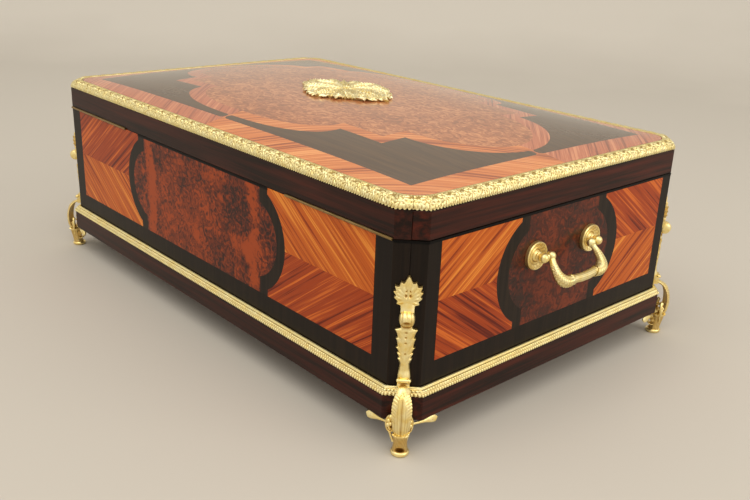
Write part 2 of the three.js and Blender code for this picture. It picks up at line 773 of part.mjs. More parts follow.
for (const side of sides.filter(({ name }) => name === 'left' || name === 'right')) {
  const handle = new THREE.Group();
  handle.rotation.z = side.turn;
  travellingCase.add(handle);
  for (const [place, sign] of [['back', side.name === 'left' ? 1 : -1], ['front', side.name === 'left' ? -1 : 1]]) {
    const mount = new THREE.Group();
    mount.position.set(sign * postSpacing / 2, faceAt(side), postZ);
    handle.add(mount);
    addPiece(`rosette_${side.name}_${place}`, rosette(), giltBrass, mount);
    addPiece(`bail_post_${side.name}_${place}`, bailPost(), giltBrass, mount);
    const nut = addPiece(`post_nut_${side.name}_${place}`, squareNut(), hingeBrass, mount);
    nut.position.y = -wallThickness - fitGap;
  }
  const swing = new THREE.Group();
  swing.position.set(0, faceAt(side) + postStandoff, postZ);
  swing.rotation.x = bailRestAngle;
  handle.add(swing);
  addPiece(`bail_${side.name}`, bail(), giltBrass, swing);
}

// Corner mounts, made on a cant that faces +Y, with heights from the underside of the plinth

// Leaf fan: angle from upright in degrees and reach as a share of the palmette's height
const palmetteTips = [[0, 1], [13, 0.91], [24, 0.82], [35, 0.72], [48, 0.56], [66, 0.4]];
const palmetteNotchShare = 0.84;

function palmetteOutline() {
  const half = [];
  palmetteTips.forEach(([degrees, reachShare], i) => {
    half.push([THREE.MathUtils.degToRad(degrees), reachShare]);
    const next = palmetteTips[i + 1];
    if (!next) return;
    const middle = THREE.MathUtils.degToRad((degrees + next[0]) / 2);
    half.push([middle, palmetteNotchShare * (reachShare + next[1]) / 2]);
  });
  const toPoint = ([angle, share]) => [
    share * palmetteHeight * Math.sin(angle), palmetteBase + share * palmetteHeight * Math.cos(angle)];
  const right = half.map(toPoint);
  const foot = [stemHalfWidth, palmetteBase - knuckleRadius / 2];
  const left = right.slice(1).map(([x, z]) => [-x, z]).reverse();
  return [...right, foot, [-foot[0], foot[1]], ...left];
}

// Husk and stem: half width as a share of the husk, height as a share down to the collar
const huskShares = [
  [0.35, 1.06], [1, 0.96], [0.86, 0.86], [0.97, 0.74], [0.8, 0.64], [0.9, 0.52], [0.7, 0.42],
  [0.76, 0.3], [0.58, 0.2], [0.55, 0],
];

function huskOutline() {
  const right = huskShares.map(([wide, high]) => [
    wide * huskHalfWidth, collarTop - collarHeight / 2 + high * (huskTop - collarTop)]);
  return [...right, ...right.map(([x, z]) => [-x, z]).reverse()];
}

function knuckleScroll() {
  const half = knuckleWidth / 2;
  const profile = [
    [0, -half], [knuckleRadius * 0.8, -half], [knuckleRadius * 0.96, -half * 0.5],
    [knuckleRadius, 0], [knuckleRadius * 0.96, half * 0.5], [knuckleRadius * 0.8, half], [0, half],
  ];
  const spool = turnedOut(profile, roundSides).rotateZ(Math.PI / 2);
  return spool.translate(0, fitGap + knuckleRadius, knuckleCentre);
}

function collarShape() {
  const low = collarTop - collarHeight;
  const round = collarHeight / 2;
  const front = Array.from({ length: 7 }, (_, i) => {
    const angle = (i / 6 - 0.5) * Math.PI;
    return [collarReach - round + round * Math.cos(angle), low + round + round * Math.sin(angle)];
  });
  return acrossMount([[fitGap, low], ...front, [fitGap, collarTop]], collarWidth);
}

function cornerMount() {
  const palmette = onFace(palmetteOutline(), mountThickness, mountBevel).translate(0, fitGap, 0);
  const husk = onFace(huskOutline(), mountThickness * 1.2, mountBevel).translate(0, fitGap, 0);
  return join(palmette, knuckleScroll(), husk, collarShape());
}

// Bowed leaf of the foot: reach, height, half width and blade, as shares of the leaf
const leafShares = [
  [0.1, 0.93, 0.58, 1.5], [0.32, 0.93, 0.6, 1.5], [0.52, 0.88, 0.62, 1.3], [0.68, 0.77, 0.8, 1.1],
  [0.83, 0.64, 0.78, 1], [0.92, 0.51, 0.96, 1], [0.96, 0.39, 0.86, 1], [0.99, 0.27, 1, 1],
  [1, 0.14, 0.88, 1], [1, 0.01, 1, 1], [0.98, -0.12, 0.8, 1], [0.97, -0.24, 0.76, 1.1],
];
const leafSectionShares = [
  [-1, -0.3], [-0.5, 0.26], [0, 0.5], [0.5, 0.26], [1, -0.3], [0.45, -0.5], [-0.45, -0.5],
];

function bladeLoft(stations) {
  const loops = stations.map(({ reach, z, half, blade }, i) => {
    const before = stations[Math.max(i - 1, 0)];
    const after = stations[Math.min(i + 1, stations.length - 1)];
    const along = new THREE.Vector2(after.reach - before.reach, after.z - before.z).normalize();
    return leafSectionShares.map(([wide, thick]) => new THREE.Vector3(
      wide * half, reach - along.y * thick * blade, z + along.x * thick * blade));
  });
  return loft(loops);
}

function footLeaf() {
  return bladeLoft(leafShares.map(([reachShare, heightShare, halfShare, bladeShare]) => ({
    reach: reachShare * leafReach, z: heightShare * leafTop,
    half: halfShare * leafHalfWidth, blade: bladeShare * leafBlade })));
}

// Free tip of the leaf, which curls up in front of the collar
const tipShares = [[0.72, 0.74, 0.5, 0.7], [0.79, 0.84, 0.44, 0.6], [0.81, 0.92, 0.28, 0.5], [0.8, 1, 0.08, 0.3]];

function leafTip() {
  return bladeLoft(tipShares.map(([reachShare, heightShare, halfShare, bladeShare]) => ({
    reach: reachShare * leafReach, z: heightShare * leafTop,
    half: halfShare * leafHalfWidth, blade: bladeShare * leafBlade })));
}

const toeZ = -2 * toeRadius;
const padTopZ = padHeight - footHeight;

function footBlock() {
  const frontX = leafReach + toeRadius / 2;
  const scrollZ = padTopZ + scrollRadius + scrollRadius / 2;
  const heelX = scrollReach - scrollRadius / 2;
  const outline = [
    [heelX, scrollZ], [scrollReach, scrollZ + scrollRadius * 0.8], [leafReach, toeZ],
    [frontX, toeZ - toeRadius / 2], [padReach + padRadius / 2, padTopZ - padHeight / 4],
    [padReach - padRadius / 2, padTopZ - padHeight / 4],
  ];
  const body = acrossMount(outline, toeWidth * 0.92);
  const toe = barAlongX(toeRadius, toeWidth, [0, leafReach - toeRadius / 8, toeZ], roundSides);
  const scroll = barAlongX(scrollRadius, scrollWidth, [0, scrollReach, scrollZ], roundSides);
  return [body, toe, scroll];
}

const padShares = [[0, 0], [0.84, 0], [1, 0.28], [0.96, 0.6], [0.6, 1], [0, 1]];

function footPad() {
  const profile = padShares.map(([wide, high]) => [wide * padRadius, high * padHeight]);
  const pad = turnedOut(profile, roundSides).rotateX(Math.PI / 2);
  return pad.translate(0, padReach, -footHeight);
}

// Side arm: along the underside of the plinth to a tab, first as shares of the arm's length
const armShares = [[0, 0, 0.7], [0.3, 0.34, 0.6], [0.62, 0.75, 0.62], [0.82, 0.92, 1], [1, 1, 1]];

function sideArm(sign) {
  const cantHalf = legAt(plinthProud) * Math.SQRT1_2;
  const start = new THREE.Vector3(scrollWidth / 4, scrollReach, -scrollRadius - armThickness);
  const end = new THREE.Vector3(
    cantHalf + armLength * Math.SQRT1_2 - armWidth / 2, plinthProud - armLength * Math.SQRT1_2 - armWidth / 2,
    -fitGap - armThickness / 2);
  const flat = end.clone().sub(start).setZ(0).normalize();
  const side = new THREE.Vector3(-flat.y, flat.x, 0);
  const loops = armShares.map(([alongShare, upShare, wideShare]) => {
    const middle = new THREE.Vector3().lerpVectors(start, end, alongShare);
    middle.z = start.z + upShare * (end.z - start.z);
    const reach = side.clone().multiplyScalar(wideShare * armWidth / 2);
    const rise = new THREE.Vector3(0, 0, armThickness / 2);
    return [
      middle.clone().add(reach).sub(rise), middle.clone().sub(reach).sub(rise),
      middle.clone().sub(reach).add(rise), middle.clone().add(reach).add(rise)];
  });
  return loft(loops.map((loop) => loop.map((point) => new THREE.Vector3(sign * point.x, point.y, point.z))));
}

// Berries beside the leaf: across, reach and height as shares of the leaf
const berryShares = [[1.08, 0.82, 0]];

function berries() {
  return [-1, 1].flatMap((sign) => berryShares.map(([wide, out, high]) =>
    new THREE.SphereGeometry(berryRadius, smallSides - 2, smallSides / 2 - 1).translate(
      sign * wide * leafHalfWidth, out * leafReach, high * leafTop)));
}

function cornerFoot() {
  const lug = acrossMount([
    [fitGap, collarTop - collarHeight - fitGap], [lugReach, collarTop - collarHeight - fitGap],
    [lugReach, plinthHeight + lowerMouldingHeight + 2 * fitGap + lugReach / 4],
    [fitGap, plinthHeight + lowerMouldingHeight + 3 * fitGap]], collarWidth * 0.86);
  return join(lug, footLeaf(), leafTip(), ...footBlock(), footPad(), sideArm(1), sideArm(-1), ...berries());
}

const mountGeometry = cornerMount();
const footGeometry = cornerFoot();
const corners = [
  { name: 'back_left', x: -1, y: 1, turn: Math.PI / 4 },
  { name: 'front_left', x: -1, y: -1, turn: 3 * Math.PI / 4 },
  { name: 'front_right', x: 1, y: -1, turn: 5 * Math.PI / 4 },
  { name: 'back_right', x: 1, y: 1, turn: -Math.PI / 4 },
];
for (const { name, x, y, turn } of corners) {
  const corner = new THREE.Group();
  const middle = [caseLength / 2 - cantLeg / 2, caseWidth / 2 - cantLeg / 2];
  corner.position.set(x * middle[0], y * middle[1], footHeight);
  corner.rotation.z = turn;
  travellingCase.add(corner);
  addPiece(`corner_mount_${name}`, mountGeometry, giltBrass, corner);
  addPiece(`corner_foot_${name}`, footGeometry, giltBrass, corner);
}

// Lid plaque: a lobed lozenge, pierced round a raised boss

function plaque() {
  const outline = lobedOutline(plaqueLength / 2, plaqueWidth / 2, 16, 0.1, 1.25, 64);
  const plate = onFace(outline, plaqueThickness, plaqueBevel).rotateX(Math.PI / 2);
  const boss = new THREE.SphereGeometry(1, smallSides, smallSides / 2)
    .scale(bossLength / 2, bossWidth / 2, bossHeight);
  const body = join(plate, boss);
  const under = block([-plaqueLength, -plaqueWidth, -plaqueLength], [plaqueLength, plaqueWidth, 0]);
  const holes = [0, 1, 2, 3, 4, 5].map((i) => {
    const angle = (i + 0.5) * Math.PI / 3;
    const x = plaqueLength * 0.24 * Math.cos(angle);
    const y = plaqueWidth * 0.25 * Math.sin(angle);
    const hole = new THREE.CylinderGeometry(1, 1, bossHeight * 3, smallSides).rotateX(Math.PI / 2);
    return hole.scale(plaqueLength * 0.045, plaqueWidth * 0.05, 1).translate(x, y, 0);
  });
  const flat = cut(body, under, ...holes);
  const place = flat.attributes.position;
  for (let i = 0; i < place.count; i += 1) {
    place.setZ(i, place.getZ(i) + domeZ(place.getX(i), place.getY(i)) + fitGap);
  }
  return flat;
}

addPiece('lid_plaque', plaque(), giltBrass);

export default travellingCase;
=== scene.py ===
# Travelling case: marquetry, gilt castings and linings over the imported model. Metres, +Z up.
import bpy, bmesh
from functools import partial
from math import asin, atan2, copysign, cos, degrees, exp, floor, hypot, pi, radians, sin, sqrt
from mathutils import Vector, Matrix


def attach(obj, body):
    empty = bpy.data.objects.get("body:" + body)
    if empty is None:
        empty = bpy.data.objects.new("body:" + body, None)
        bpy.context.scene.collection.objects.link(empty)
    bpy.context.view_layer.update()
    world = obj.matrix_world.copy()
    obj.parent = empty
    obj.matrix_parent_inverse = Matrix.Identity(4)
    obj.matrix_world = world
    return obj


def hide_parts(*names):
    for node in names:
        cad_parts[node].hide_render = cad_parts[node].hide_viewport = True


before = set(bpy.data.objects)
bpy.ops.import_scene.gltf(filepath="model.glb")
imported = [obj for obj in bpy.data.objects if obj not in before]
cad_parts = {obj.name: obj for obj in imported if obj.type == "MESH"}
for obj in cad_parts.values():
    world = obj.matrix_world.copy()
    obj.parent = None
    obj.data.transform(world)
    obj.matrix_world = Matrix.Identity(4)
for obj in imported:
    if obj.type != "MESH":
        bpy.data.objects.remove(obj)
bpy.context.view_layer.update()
scene = bpy.context.scene
mm = 0.001

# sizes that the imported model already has, in millimetres
case = dict(
    halfLength=300, halfWidth=187, cantLeg=19, footHeight=28, plinthTop=49, lidRailTop=201.5, topEdge=210,
    dome=15, domePower=3, mouldingWidth=11, innerCorner=22)
# half sizes of the veneered top, inside its moulding
topX, topY = case["halfLength"] - case["mouldingWidth"], case["halfWidth"] - case["mouldingWidth"]

print("stage: camera and studio")
camera = dict(
    place=(-725.3, 611.0, 401.0), heading=-42.411, tilt=-20.684, roll=2.334, focalPixels=877.0,
    picturePixels=750, sensor=36)


def addCamera():
    data = bpy.data.cameras.new("photoCamera")
    data.sensor_width = camera["sensor"]
    data.lens = camera["sensor"] * camera["focalPixels"] / camera["picturePixels"]
    data.clip_start = 0.01
    obj = bpy.data.objects.new("photoCamera", data)
    scene.collection.objects.link(obj)
    az, el = radians(camera["heading"]), radians(camera["tilt"])
    ahead = Vector((cos(el) * cos(az), cos(el) * sin(az), sin(el)))
    right = ahead.cross(Vector((0, 0, 1))).normalized()
    roll = Matrix.Rotation(-radians(camera["roll"]), 3, ahead)
    basis = Matrix((roll @ right, roll @ right.cross(ahead), -(roll @ ahead))).transposed()
    obj.matrix_world = Matrix.Translation(Vector(camera["place"]) * mm) @ basis.to_4x4()
    scene.camera = obj


addCamera()


def toLinear(hexColour):
    h = hexColour.lstrip("#")
    parts = [int(h[i:i + 2], 16) / 255 for i in (0, 2, 4)]
    return tuple(c / 12.92 if c <= 0.04045 else ((c + 0.055) / 1.055) ** 2.4 for c in parts) + (1.0,)


# each input gets a value, a colour in hex, or a link from a node or one of its outputs
def setInputs(node, inputs):
    for key, value in inputs.items():
        socket = node.inputs[key]
        if isinstance(value, bpy.types.Node):
            value = value.outputs[0]
        if isinstance(value, bpy.types.NodeSocket):
            node.id_data.links.new(value, socket)
        else:
            socket.default_value = toLinear(value) if isinstance(value, str) else value


# adds a node with its settings and links; stops are the places and colours of a ramp
def addNode(tree, kind, inputs={}, stops=(), **settings):
    node = tree.nodes.new("ShaderNode" + kind)
    for key, value in settings.items():
        setattr(node, key, value)
    if stops:
        points = node.color_ramp.elements
        while len(points) < len(stops):
            points.new(0.5)
        for point, (at, colour) in zip(points, stops):
            point.position, point.color = at, toLinear(colour)
    setInputs(node, inputs)
    return node


# a material, what adds a node to it, its shader, and the place on the object in metres
def newMaterial(name):
    mat = bpy.data.materials.new(name)
    mat.use_nodes = True
    mat.node_tree.nodes.clear()
    add = partial(addNode, mat.node_tree)
    shader = add("BsdfPrincipled")
    add("OutputMaterial", {0: shader})
    return mat, add, shader, add("TexCoord").outputs["Object"]


# a smooth object made of a shape
def newObject(bm, name, mats):
    mesh = bpy.data.meshes.new(name)
    bm.to_mesh(mesh)
    bm.free()
    for mat in mats:
        mesh.materials.append(mat)
    for face in mesh.polygons:
        face.use_smooth = True
    obj = bpy.data.objects.new(name, mesh)
    scene.collection.objects.link(obj)
    return obj


# studio in metres: pale paper sweep, one big soft lamp above, a weaker one beside the camera
studio = dict(
    floorColour="#c6c1b8", bendColour="#cac5bc", wallColour="#d8d3ca", halfWidth=4, front=7, wallHeight=4,
    bendRadius=1.2, behind=1.5, lampPower=23, fillPower=9, lampColour="#fff8ee", worldColour="#f4eee4",
    worldStrength=0.93)


# draws an edge out into a strip and returns the far edge
def growEdge(bm, edge, step):
    grown = bmesh.ops.extrude_edge_only(bm, edges=[edge])["geom"]
    verts = [g for g in grown if isinstance(g, bmesh.types.BMVert)]
    bmesh.ops.translate(bm, verts=verts, vec=step)
    return next(g for g in grown if isinstance(g, bmesh.types.BMEdge) and all(v in verts for v in g.verts))


def addSweep():
    s = studio
    # matt background paper with painted light: its tone drifts from the darker floor up the bend to the paler wall
    mat, add, shader, place = newMaterial("paperBackdrop")
    cloud = add("TexNoise", {"Vector": place, "Scale": 1.4, "Detail": 3})
    depth = add("SeparateXYZ", {0: place}).outputs[1]
    depth = add("MapRange", {"Value": depth, "From Min": -2.4, "From Max": 1})
    depth = add("Math", {0: cloud, 1: 0.3, 2: depth}, operation="MULTIPLY_ADD")
    tone = add("ValToRGB", {0: depth}, [(0.2, s["floorColour"]), (0.82, s["bendColour"]), (1, s["wallColour"])])
    setInputs(shader, {"Base Color": tone, "Roughness": 0.7})

    bm = bmesh.new()
    front = bm.edges.new([bm.verts.new((x, 0, 0)) for x in (-s["halfWidth"], s["halfWidth"])])
    edge, before, steps = front, Vector((0, 0, 0)), 12
    for i in range(1, steps + 1):
        a = i / steps * pi / 2
        after = Vector((0, s["bendRadius"] * sin(a), s["bendRadius"] * (1 - cos(a))))
        edge, before = growEdge(bm, edge, after - before), after
    growEdge(bm, edge, (0, 0, s["wallHeight"]))
    growEdge(bm, front, (0, -s["front"], 0))
    bmesh.ops.recalc_face_normals(bm, faces=bm.faces)
    obj = newObject(bm, "paperSweep", [mat])
    turn = Matrix.Rotation(radians(camera["heading"]) - pi / 2, 4, "Z")
    obj.matrix_world = turn @ Matrix.Translation((0, s["behind"], 0))


addSweep()


def addLamp(name, power, size, place):
    data = bpy.data.lights.new(name, "AREA")
    data.shape = "RECTANGLE"
    data.size, data.size_y = size
    data.energy = power
    data.color = toLinear(studio["lampColour"])[:3]
    lamp = bpy.data.objects.new(name, data)
    scene.collection.objects.link(lamp)
    aim = (Vector((0, 0, 0.1)) - Vector(place)).to_track_quat("-Z", "Y")
    lamp.matrix_world = Matrix.Translation(place) @ aim.to_matrix().to_4x4()


addLamp("softLampAbove", studio["lampPower"], (2.4, 1.8), (-0.5, 0.9, 2.2))
addLamp("softLampSide", studio["fillPower"], (1.4, 1.0), (-1.9, -0.6, 1.1))
scene.world = bpy.data.worlds.new("studioWorld")
scene.world.use_nodes = True
setInputs(scene.world.node_tree.nodes["Background"], {0: studio["worldColour"], 1: studio["worldStrength"]})
scene.view_settings.view_transform = "Standard"

print("stage: finishes")
# shellac rubbed over veneer: a clear glossy skin, faintly uneven every 22 mm or so
shellac = dict(
    woodRoughness=0.36, ior=1.5, specular=0.1, coatRoughness=0.18, ripplesPerMetre=45, rippleStrength=0.02,
    rippleHeight=0.5)


def polish(add, shader, place, coat, coatIor):
    s = shellac
    ripple = add("TexNoise", {"Vector": place, "Scale": s["ripplesPerMetre"], "Detail": 2})
    bump = add("Bump", {"Height": ripple, "Strength": s["rippleStrength"], "Distance": s["rippleHeight"] * mm})
    setInputs(shader, {
        "Roughness": s["woodRoughness"], "IOR": s["ior"], "Specular IOR Level": s["specular"], "Coat Weight": coat,
        "Coat Roughness": s["coatRoughness"], "Coat IOR": coatIor, "Coat Normal": bump})


# French-polished tulipwood: straight diagonal stripes from salmon to brown, u runs with the grain
tulipwood = dict(stripe=2.6, pore=0.6, light="#eda262", middle="#d47a3e", dark="#96461f", coat=1, coatIor=1.62)
# kingwood: wider and redder stripes, under a thinner polish on the upright sides
kingwood = dict(stripe=3.4, pore=0.7, coat=0.22, coatIor=1.5)


def makeStripedWood(name, stripe, pore, light, middle, dark, coat, coatIor):
    mat, add, shader, place = newMaterial(name)
    uv = add("UVMap", uv_map="grain")
    # a stripe is fifty times as long as it is wide, a pore eighty times
    wide, fine = 1 / (stripe * mm), 1 / (pore * mm)
    across = add("Mapping", {"Vector": uv, "Scale": (wide * 0.02, wide, 1)})
    stripes = add("TexNoise", {"Vector": across, "Scale": 1, "Detail": 3, "Roughness": 0.55, "Distortion": 0.3})
    finer = add("Mapping", {"Vector": uv, "Scale": (fine * 0.012, fine, 1)})
    pores = add("TexNoise", {"Vector": finer, "Scale": 1, "Detail": 2})
    drift = add("TexNoise", {"Vector": across, "Scale": 0.16, "Detail": 2})
    mixed = add("Math", {0: stripes, 1: 0.5}, operation="MULTIPLY")
    mixed = add("Math", {0: pores, 1: 0.22, 2: mixed}, operation="MULTIPLY_ADD")
    mixed = add("Math", {0: drift, 1: 0.28, 2: mixed}, operation="MULTIPLY_ADD")
    colour = add("ValToRGB", {0: mixed}, [(0.41, dark), (0.47, middle), (0.52, middle), (0.58, light)])
    setInputs(shader, {"Base Color": colour})
    polish(add, shader, place, coat, coatIor)
    return mat


# burl: swirling mottled figure a few millimetres across, with dark eyes and paler sap streaks
burl = dict(
    swirl=8, cloud=0.36, eye=7, light="#a04216", middle="#6a2a14", dark="#301a16", eyeColour="#1e1110",
    coat=0.22, coatIor=1.5)


def makeBurl(name, swirl, cloud, eye, light, middle, dark, eyeColour, coat, coatIor, streaks=False, stretch=(1, 1, 1)):
    mat, add, shader, place = newMaterial(name)
    where = add("Mapping", {"Vector": place, "Scale": stretch})
    swirls = add("TexNoise", {
        "Vector": where, "Scale": 1 / (swirl * mm), "Detail": 5, "Roughness": 0.6, "Distortion": 2})
    clouds = add("TexNoise", {"Vector": where, "Scale": 0.18 / (swirl * mm), "Detail": 2, "Distortion": 0.6})
    tone = add("Math", {0: swirls, 1: 1 - cloud}, operation="MULTIPLY")
    tone = add("Math", {0: clouds, 1: cloud, 2: tone}, operation="MULTIPLY_ADD")
    if streaks:
        # paler upright sap streaks about 90 mm each side of the middle
        side = add("Math", {0: add("SeparateXYZ", {0: where})}, operation="ABSOLUTE")
        side = add("Math", {0: clouds, 1: 0.03, 2: side}, operation="MULTIPLY_ADD")
        side = add("Math", {0: side, 1: 0.108}, operation="SUBTRACT")
        side = add("Math", {0: side}, operation="ABSOLUTE")
        near = add("MapRange", {"Value": side, "From Min": 0.003, "From Max": 0.013, "To Min": 0.16, "To Max": 0},
                   interpolation_type="SMOOTHSTEP")
        tone = add("Math", {0: tone, 1: near}, operation="ADD")
    colour = add("ValToRGB", {0: tone}, [(0.4, dark), (0.5, middle), (0.61, light)])
    warp = add("TexNoise", {"Vector": where, "Scale": 260, "Detail": 2}).outputs[1]
    warp = add("VectorMath", {0: warp, 1: (0.006, 0.006, 0.006)}, operation="MULTIPLY")
    moved = add("VectorMath", {0: where, 1: warp}, operation="ADD")
    eyes = add("TexVoronoi", {"Vector": moved, "Scale": 1 / (eye * mm)})
    spot = add("MapRange", {"Value": eyes, "From Min": 0.1, "From Max": 0.34, "To Min": 0.75, "To Max": 0})
    dense = add("MapRange", {"Value": clouds, "From Min": 0.46, "From Max": 0.6, "To Min": 1, "To Max": 0})
    spot = add("Math", {0: spot, 1: dense}, operation="MULTIPLY")
    final = add("Mix", {0: spot, 6: colour, 7: eyeColour}, data_type="RGBA").outputs[2]
    setInputs(shader, {"Base Color": final})
    polish(add, shader, place, coat, coatIor)
    return mat


# dark polished woods: a faint figure of low and high tone, drawn out along the axis of the grain
def makeDarkWood(name, low, high, grainAxis, coat, streak=4, coatIor=1.5):
    mat, add, shader, place = newMaterial(name)
    scale = [1 / (streak * mm)] * 3
    scale[grainAxis] *= 0.03
    where = add("Mapping", {"Vector": place, "Scale": scale})
    figure = add("TexNoise", {"Vector": where, "Scale": 1, "Detail": 5, "Roughness": 0.6, "Distortion": 0.3})
    setInputs(shader, {"Base Color": add("ValToRGB", {0: figure}, [(0.4, low), (0.66, high)])})
    polish(add, shader, place, coat, coatIor)
    return mat


# cast bronze, fire-gilt and burnished: bright on the high parts; where it is low it is rougher, and painted brown as
# shade
gilding = dict(bright="#ffeeb0", dull="#f8dc8a", recess="#a87a30", roughness=0.34, frost=0.3)


def makeGilding(name, bright, dull, recess, roughness, frost):
    mat, add, shader, place = newMaterial(name)
    low = add("Attribute", attribute_name="recess").outputs["Fac"]
    patch = add("TexNoise", {"Vector": place, "Scale": 140, "Detail": 4, "Roughness": 0.6})
    tone = add("ValToRGB", {0: patch}, [(0.36, dull), (0.62, bright)])
    # painted shade: the low parts take the brown recess colour
    tone = add("Mix", {0: low, 6: tone, 7: recess}, data_type="RGBA").outputs[2]
    # chasing marks of about half a millimetre, drawn a little coarser than real so that they show
    chase = add("TexNoise", {"Vector": place, "Scale": 1300, "Detail": 2})
    setInputs(shader, {
        "Base Color": tone, "Metallic": 1,
        "Roughness": add("Math", {0: low, 1: 0.3, 2: roughness}, operation="MULTIPLY_ADD"),
        "Normal": add("Bump", {"Height": chase, "Strength": frost, "Distance": 0.3 * mm})})
    return mat


# drawn brass strip and filed steel: fine straight scratches along X
def makeDrawnMetal(name, low, high, roughness):
    mat, add, shader, place = newMaterial(name)
    where = add("Mapping", {"Vector": place, "Scale": (60, 2500, 2500)})
    scratch = add("TexNoise", {"Vector": where, "Scale": 1, "Detail": 3})
    setInputs(shader, {
        "Base Color": add("ValToRGB", {0: scratch}, [(0.35, low), (0.65, high)]), "Metallic": 1,
        "Roughness": roughness, "Normal": add("Bump", {"Height": scratch, "Strength": 0.15, "Distance": 0.1 * mm})})
    return mat


# cotton velvet: short pile that brightens at a glancing angle, brushed in patches
def makeVelvet(name, low, high):
    mat, add, shader, place = newMaterial(name)
    brushed = add("TexNoise", {"Vector": place, "Scale": 9, "Detail": 3})
    pile = add("TexNoise", {"Vector": place, "Scale": 1400, "Detail": 1})
    mixed = add("Math", {0: pile, 1: 0.35, 2: brushed}, operation="MULTIPLY_ADD")
    setInputs(shader, {
        "Base Color": add("ValToRGB", {0: mixed}, [(0.5, low), (0.85, high)]), "Roughness": 0.9,
        "Sheen Weight": 0.7, "Sheen Roughness": 0.4,
        "Normal": add("Bump", {"Height": pile, "Strength": 0.4, "Distance": 0.4 * mm})})
    return mat


# planed softwood: wide pale growth rings, no polish
def makePine(name, low, high):
    mat, add, shader, place = newMaterial(name)
    where = add("Mapping", {"Vector": place, "Scale": (4, 90, 90)})
    rings = add("TexNoise", {"Vector": where, "Scale": 1, "Detail": 4, "Distortion": 0.5})
    setInputs(shader, {"Base Color": add("ValToRGB", {0: rings}, [(0.4, low), (0.62, high)]), "Roughness": 0.7})
    return mat


tulipwoodVeneer = makeStripedWood("tulipwoodVeneer", **tulipwood)
# painted shade: veneer laid with its grain the other way takes the light darker and redder, so it gets a darker, redder
# copy of the wood
tulipwoodTurnedShaded = makeStripedWood(
    "tulipwoodTurnedShaded", **dict(tulipwood, light="#da9068", middle="#bf6c4a", dark="#86422c"))
kingwoodVeneer = makeStripedWood("kingwoodVeneer", light="#e28a34", middle="#c05c1a", dark="#802a0a", **kingwood)
# painted shade: kingwood laid with its grain the other way gets a darker, redder copy
kingwoodTurnedShaded = makeStripedWood("kingwoodTurnedShaded", light="#d06824", middle="#a03e12", dark="#5e1806", **kingwood)
# burl of the long sides shows its sap streaks; that of the ends is plainer and that of the top pale and fine
burlFaceVeneer = makeBurl("burlFaceVeneer", streaks=True, **burl)
burlEndVeneer = makeBurl("burlEndVeneer", **dict(burl, swirl=10, light="#743018", middle="#4e2216", dark="#32201a"))
burlTopVeneer = makeBurl("burlTopVeneer", **dict(
    burl, swirl=9, cloud=0.2, eye=5, light="#d08a5a", middle="#b26a42", dark="#925636", eyeColour="#8a4c30",
    coat=1, coatIor=1.62, stretch=(0.7, 1, 1)))
# ebony: almost black-brown, and on the lid under a deep polish that mirrors the light
ebonyTop = makeDarkWood("ebonyTop", "#402812", "#50361c", 0, coat=1, coatIor=1.75)
ebonyBand = makeDarkWood("ebonyBand", "#1b140f", "#2a1f16", 2, coat=0.14)
ebonySides = makeDarkWood("ebonySides", "#150e09", "#20160e", 2, coat=0.12)
# rosewood: red streaks along the rail
rosewoodLong = makeDarkWood("rosewoodLong", "#1c0e09", "#441c12", 0, coat=0.16, streak=6)
rosewoodShort = makeDarkWood("rosewoodShort", "#1c0e09", "#4c1c10", 1, coat=0.16, streak=6)
# painted shadow: black and dull, so that it reads as the dark shadow line of the seam
seamShadowBlack = makeDarkWood("seamShadowBlack", "#070504", "#0c0907", 0, coat=0)
giltBronze = makeGilding("giltBronze", **gilding)
# matted ground between the leaves of the mouldings, left unburnished
giltBronzePale = makeGilding("giltBronzePale", **dict(
    gilding, bright="#fff4bc", dull="#fce9a2", recess="#a07830", frost=0.55))
# painted light: the plaque takes a paler copy of the gilding, for the strong light on the top of the lid; it is also a
# little rougher and more frosted
giltBronzeMattLit = makeGilding("giltBronzeMattLit", **dict(
    gilding, bright="#fff9d2", dull="#fff1b8", recess="#d2b05c", roughness=0.37, frost=0.6))
drawnBrass = makeDrawnMetal("drawnBrass", "#7a6238", "#ac9062", 0.42)
filedSteel = makeDrawnMetal("filedSteel", "#6a6660", "#98948c", 0.4)
redVelvet = makeVelvet("redVelvet", "#3a0810", "#741824")
barePine = makePine("barePine", "#8a6234", "#c79b62")


# helpers for shapes, which are bmeshes in millimetres

def smoothstep(low, high, x):
    t = min(1.0, max(0.0, (x - low) / (high - low)))
    return t * t * (3 - 2 * t)


# a bell of height 1 round a place
def hump(x, at, width):
    return exp(-((x - at) / width) ** 2)


# a cosine wave between 0 and 1
def wave(a):
    return 0.5 + 0.5 * cos(a)


# a point on a smooth curve through a row of points or numbers, t from 0 to 1
def along(points, t):
    last = len(points) - 1
    place = min(max(t, 0.0), 1.0) * last
    i = min(int(place), last - 1)
    f = place - i
    a, b, c, d = (points[min(max(k, 0), last)] for k in (i - 1, i, i + 1, i + 2))
    return 0.5 * ((2 * b) + (c - a) * f + (2 * a - 5 * b + 4 * c - d) * f * f + (3 * b - a - 3 * c + d) * f ** 3)


# the way that such a curve points at t
def aheadAt(points, t, step=0.01):
    return (along(points, min(1.0, t + step)) - along(points, max(0.0, t - step))).normalized()


# the lengths along an outline at its points, and what finds the point at any length
def measureOutline(outline, wide=1, high=1):
    lengths = [0.0]
    for (a, b), (c, d) in zip(outline, outline[1:]):
        lengths.append(lengths[-1] + hypot((c - a) * wide, (d - b) * high))

    def pointAt(run):
        i = max(k for k in range(len(lengths) - 1) if lengths[k] <= run + 1e-9)
        f = (run - lengths[i]) / max(1e-9, lengths[i + 1] - lengths[i])
        return [a + f * (b - a) for a, b in zip(outline[i], outline[i + 1])]

    return lengths, pointAt


# every shape carries how much painted shade each of its points takes
def newShape():
    bm = bmesh.new()
    bm.verts.layers.float.new("recess")
    return bm


# turns the faces of a new closed part outwards: they have to add to the volume that was there before
def faceOutward(bm, verts, before):
    faces = list(dict.fromkeys(f for v in verts for f in v.link_faces))
    bmesh.ops.recalc_face_normals(bm, faces=faces)
    if bm.calc_volume(signed=True) < before:
        bmesh.ops.reverse_faces(bm, faces=faces)
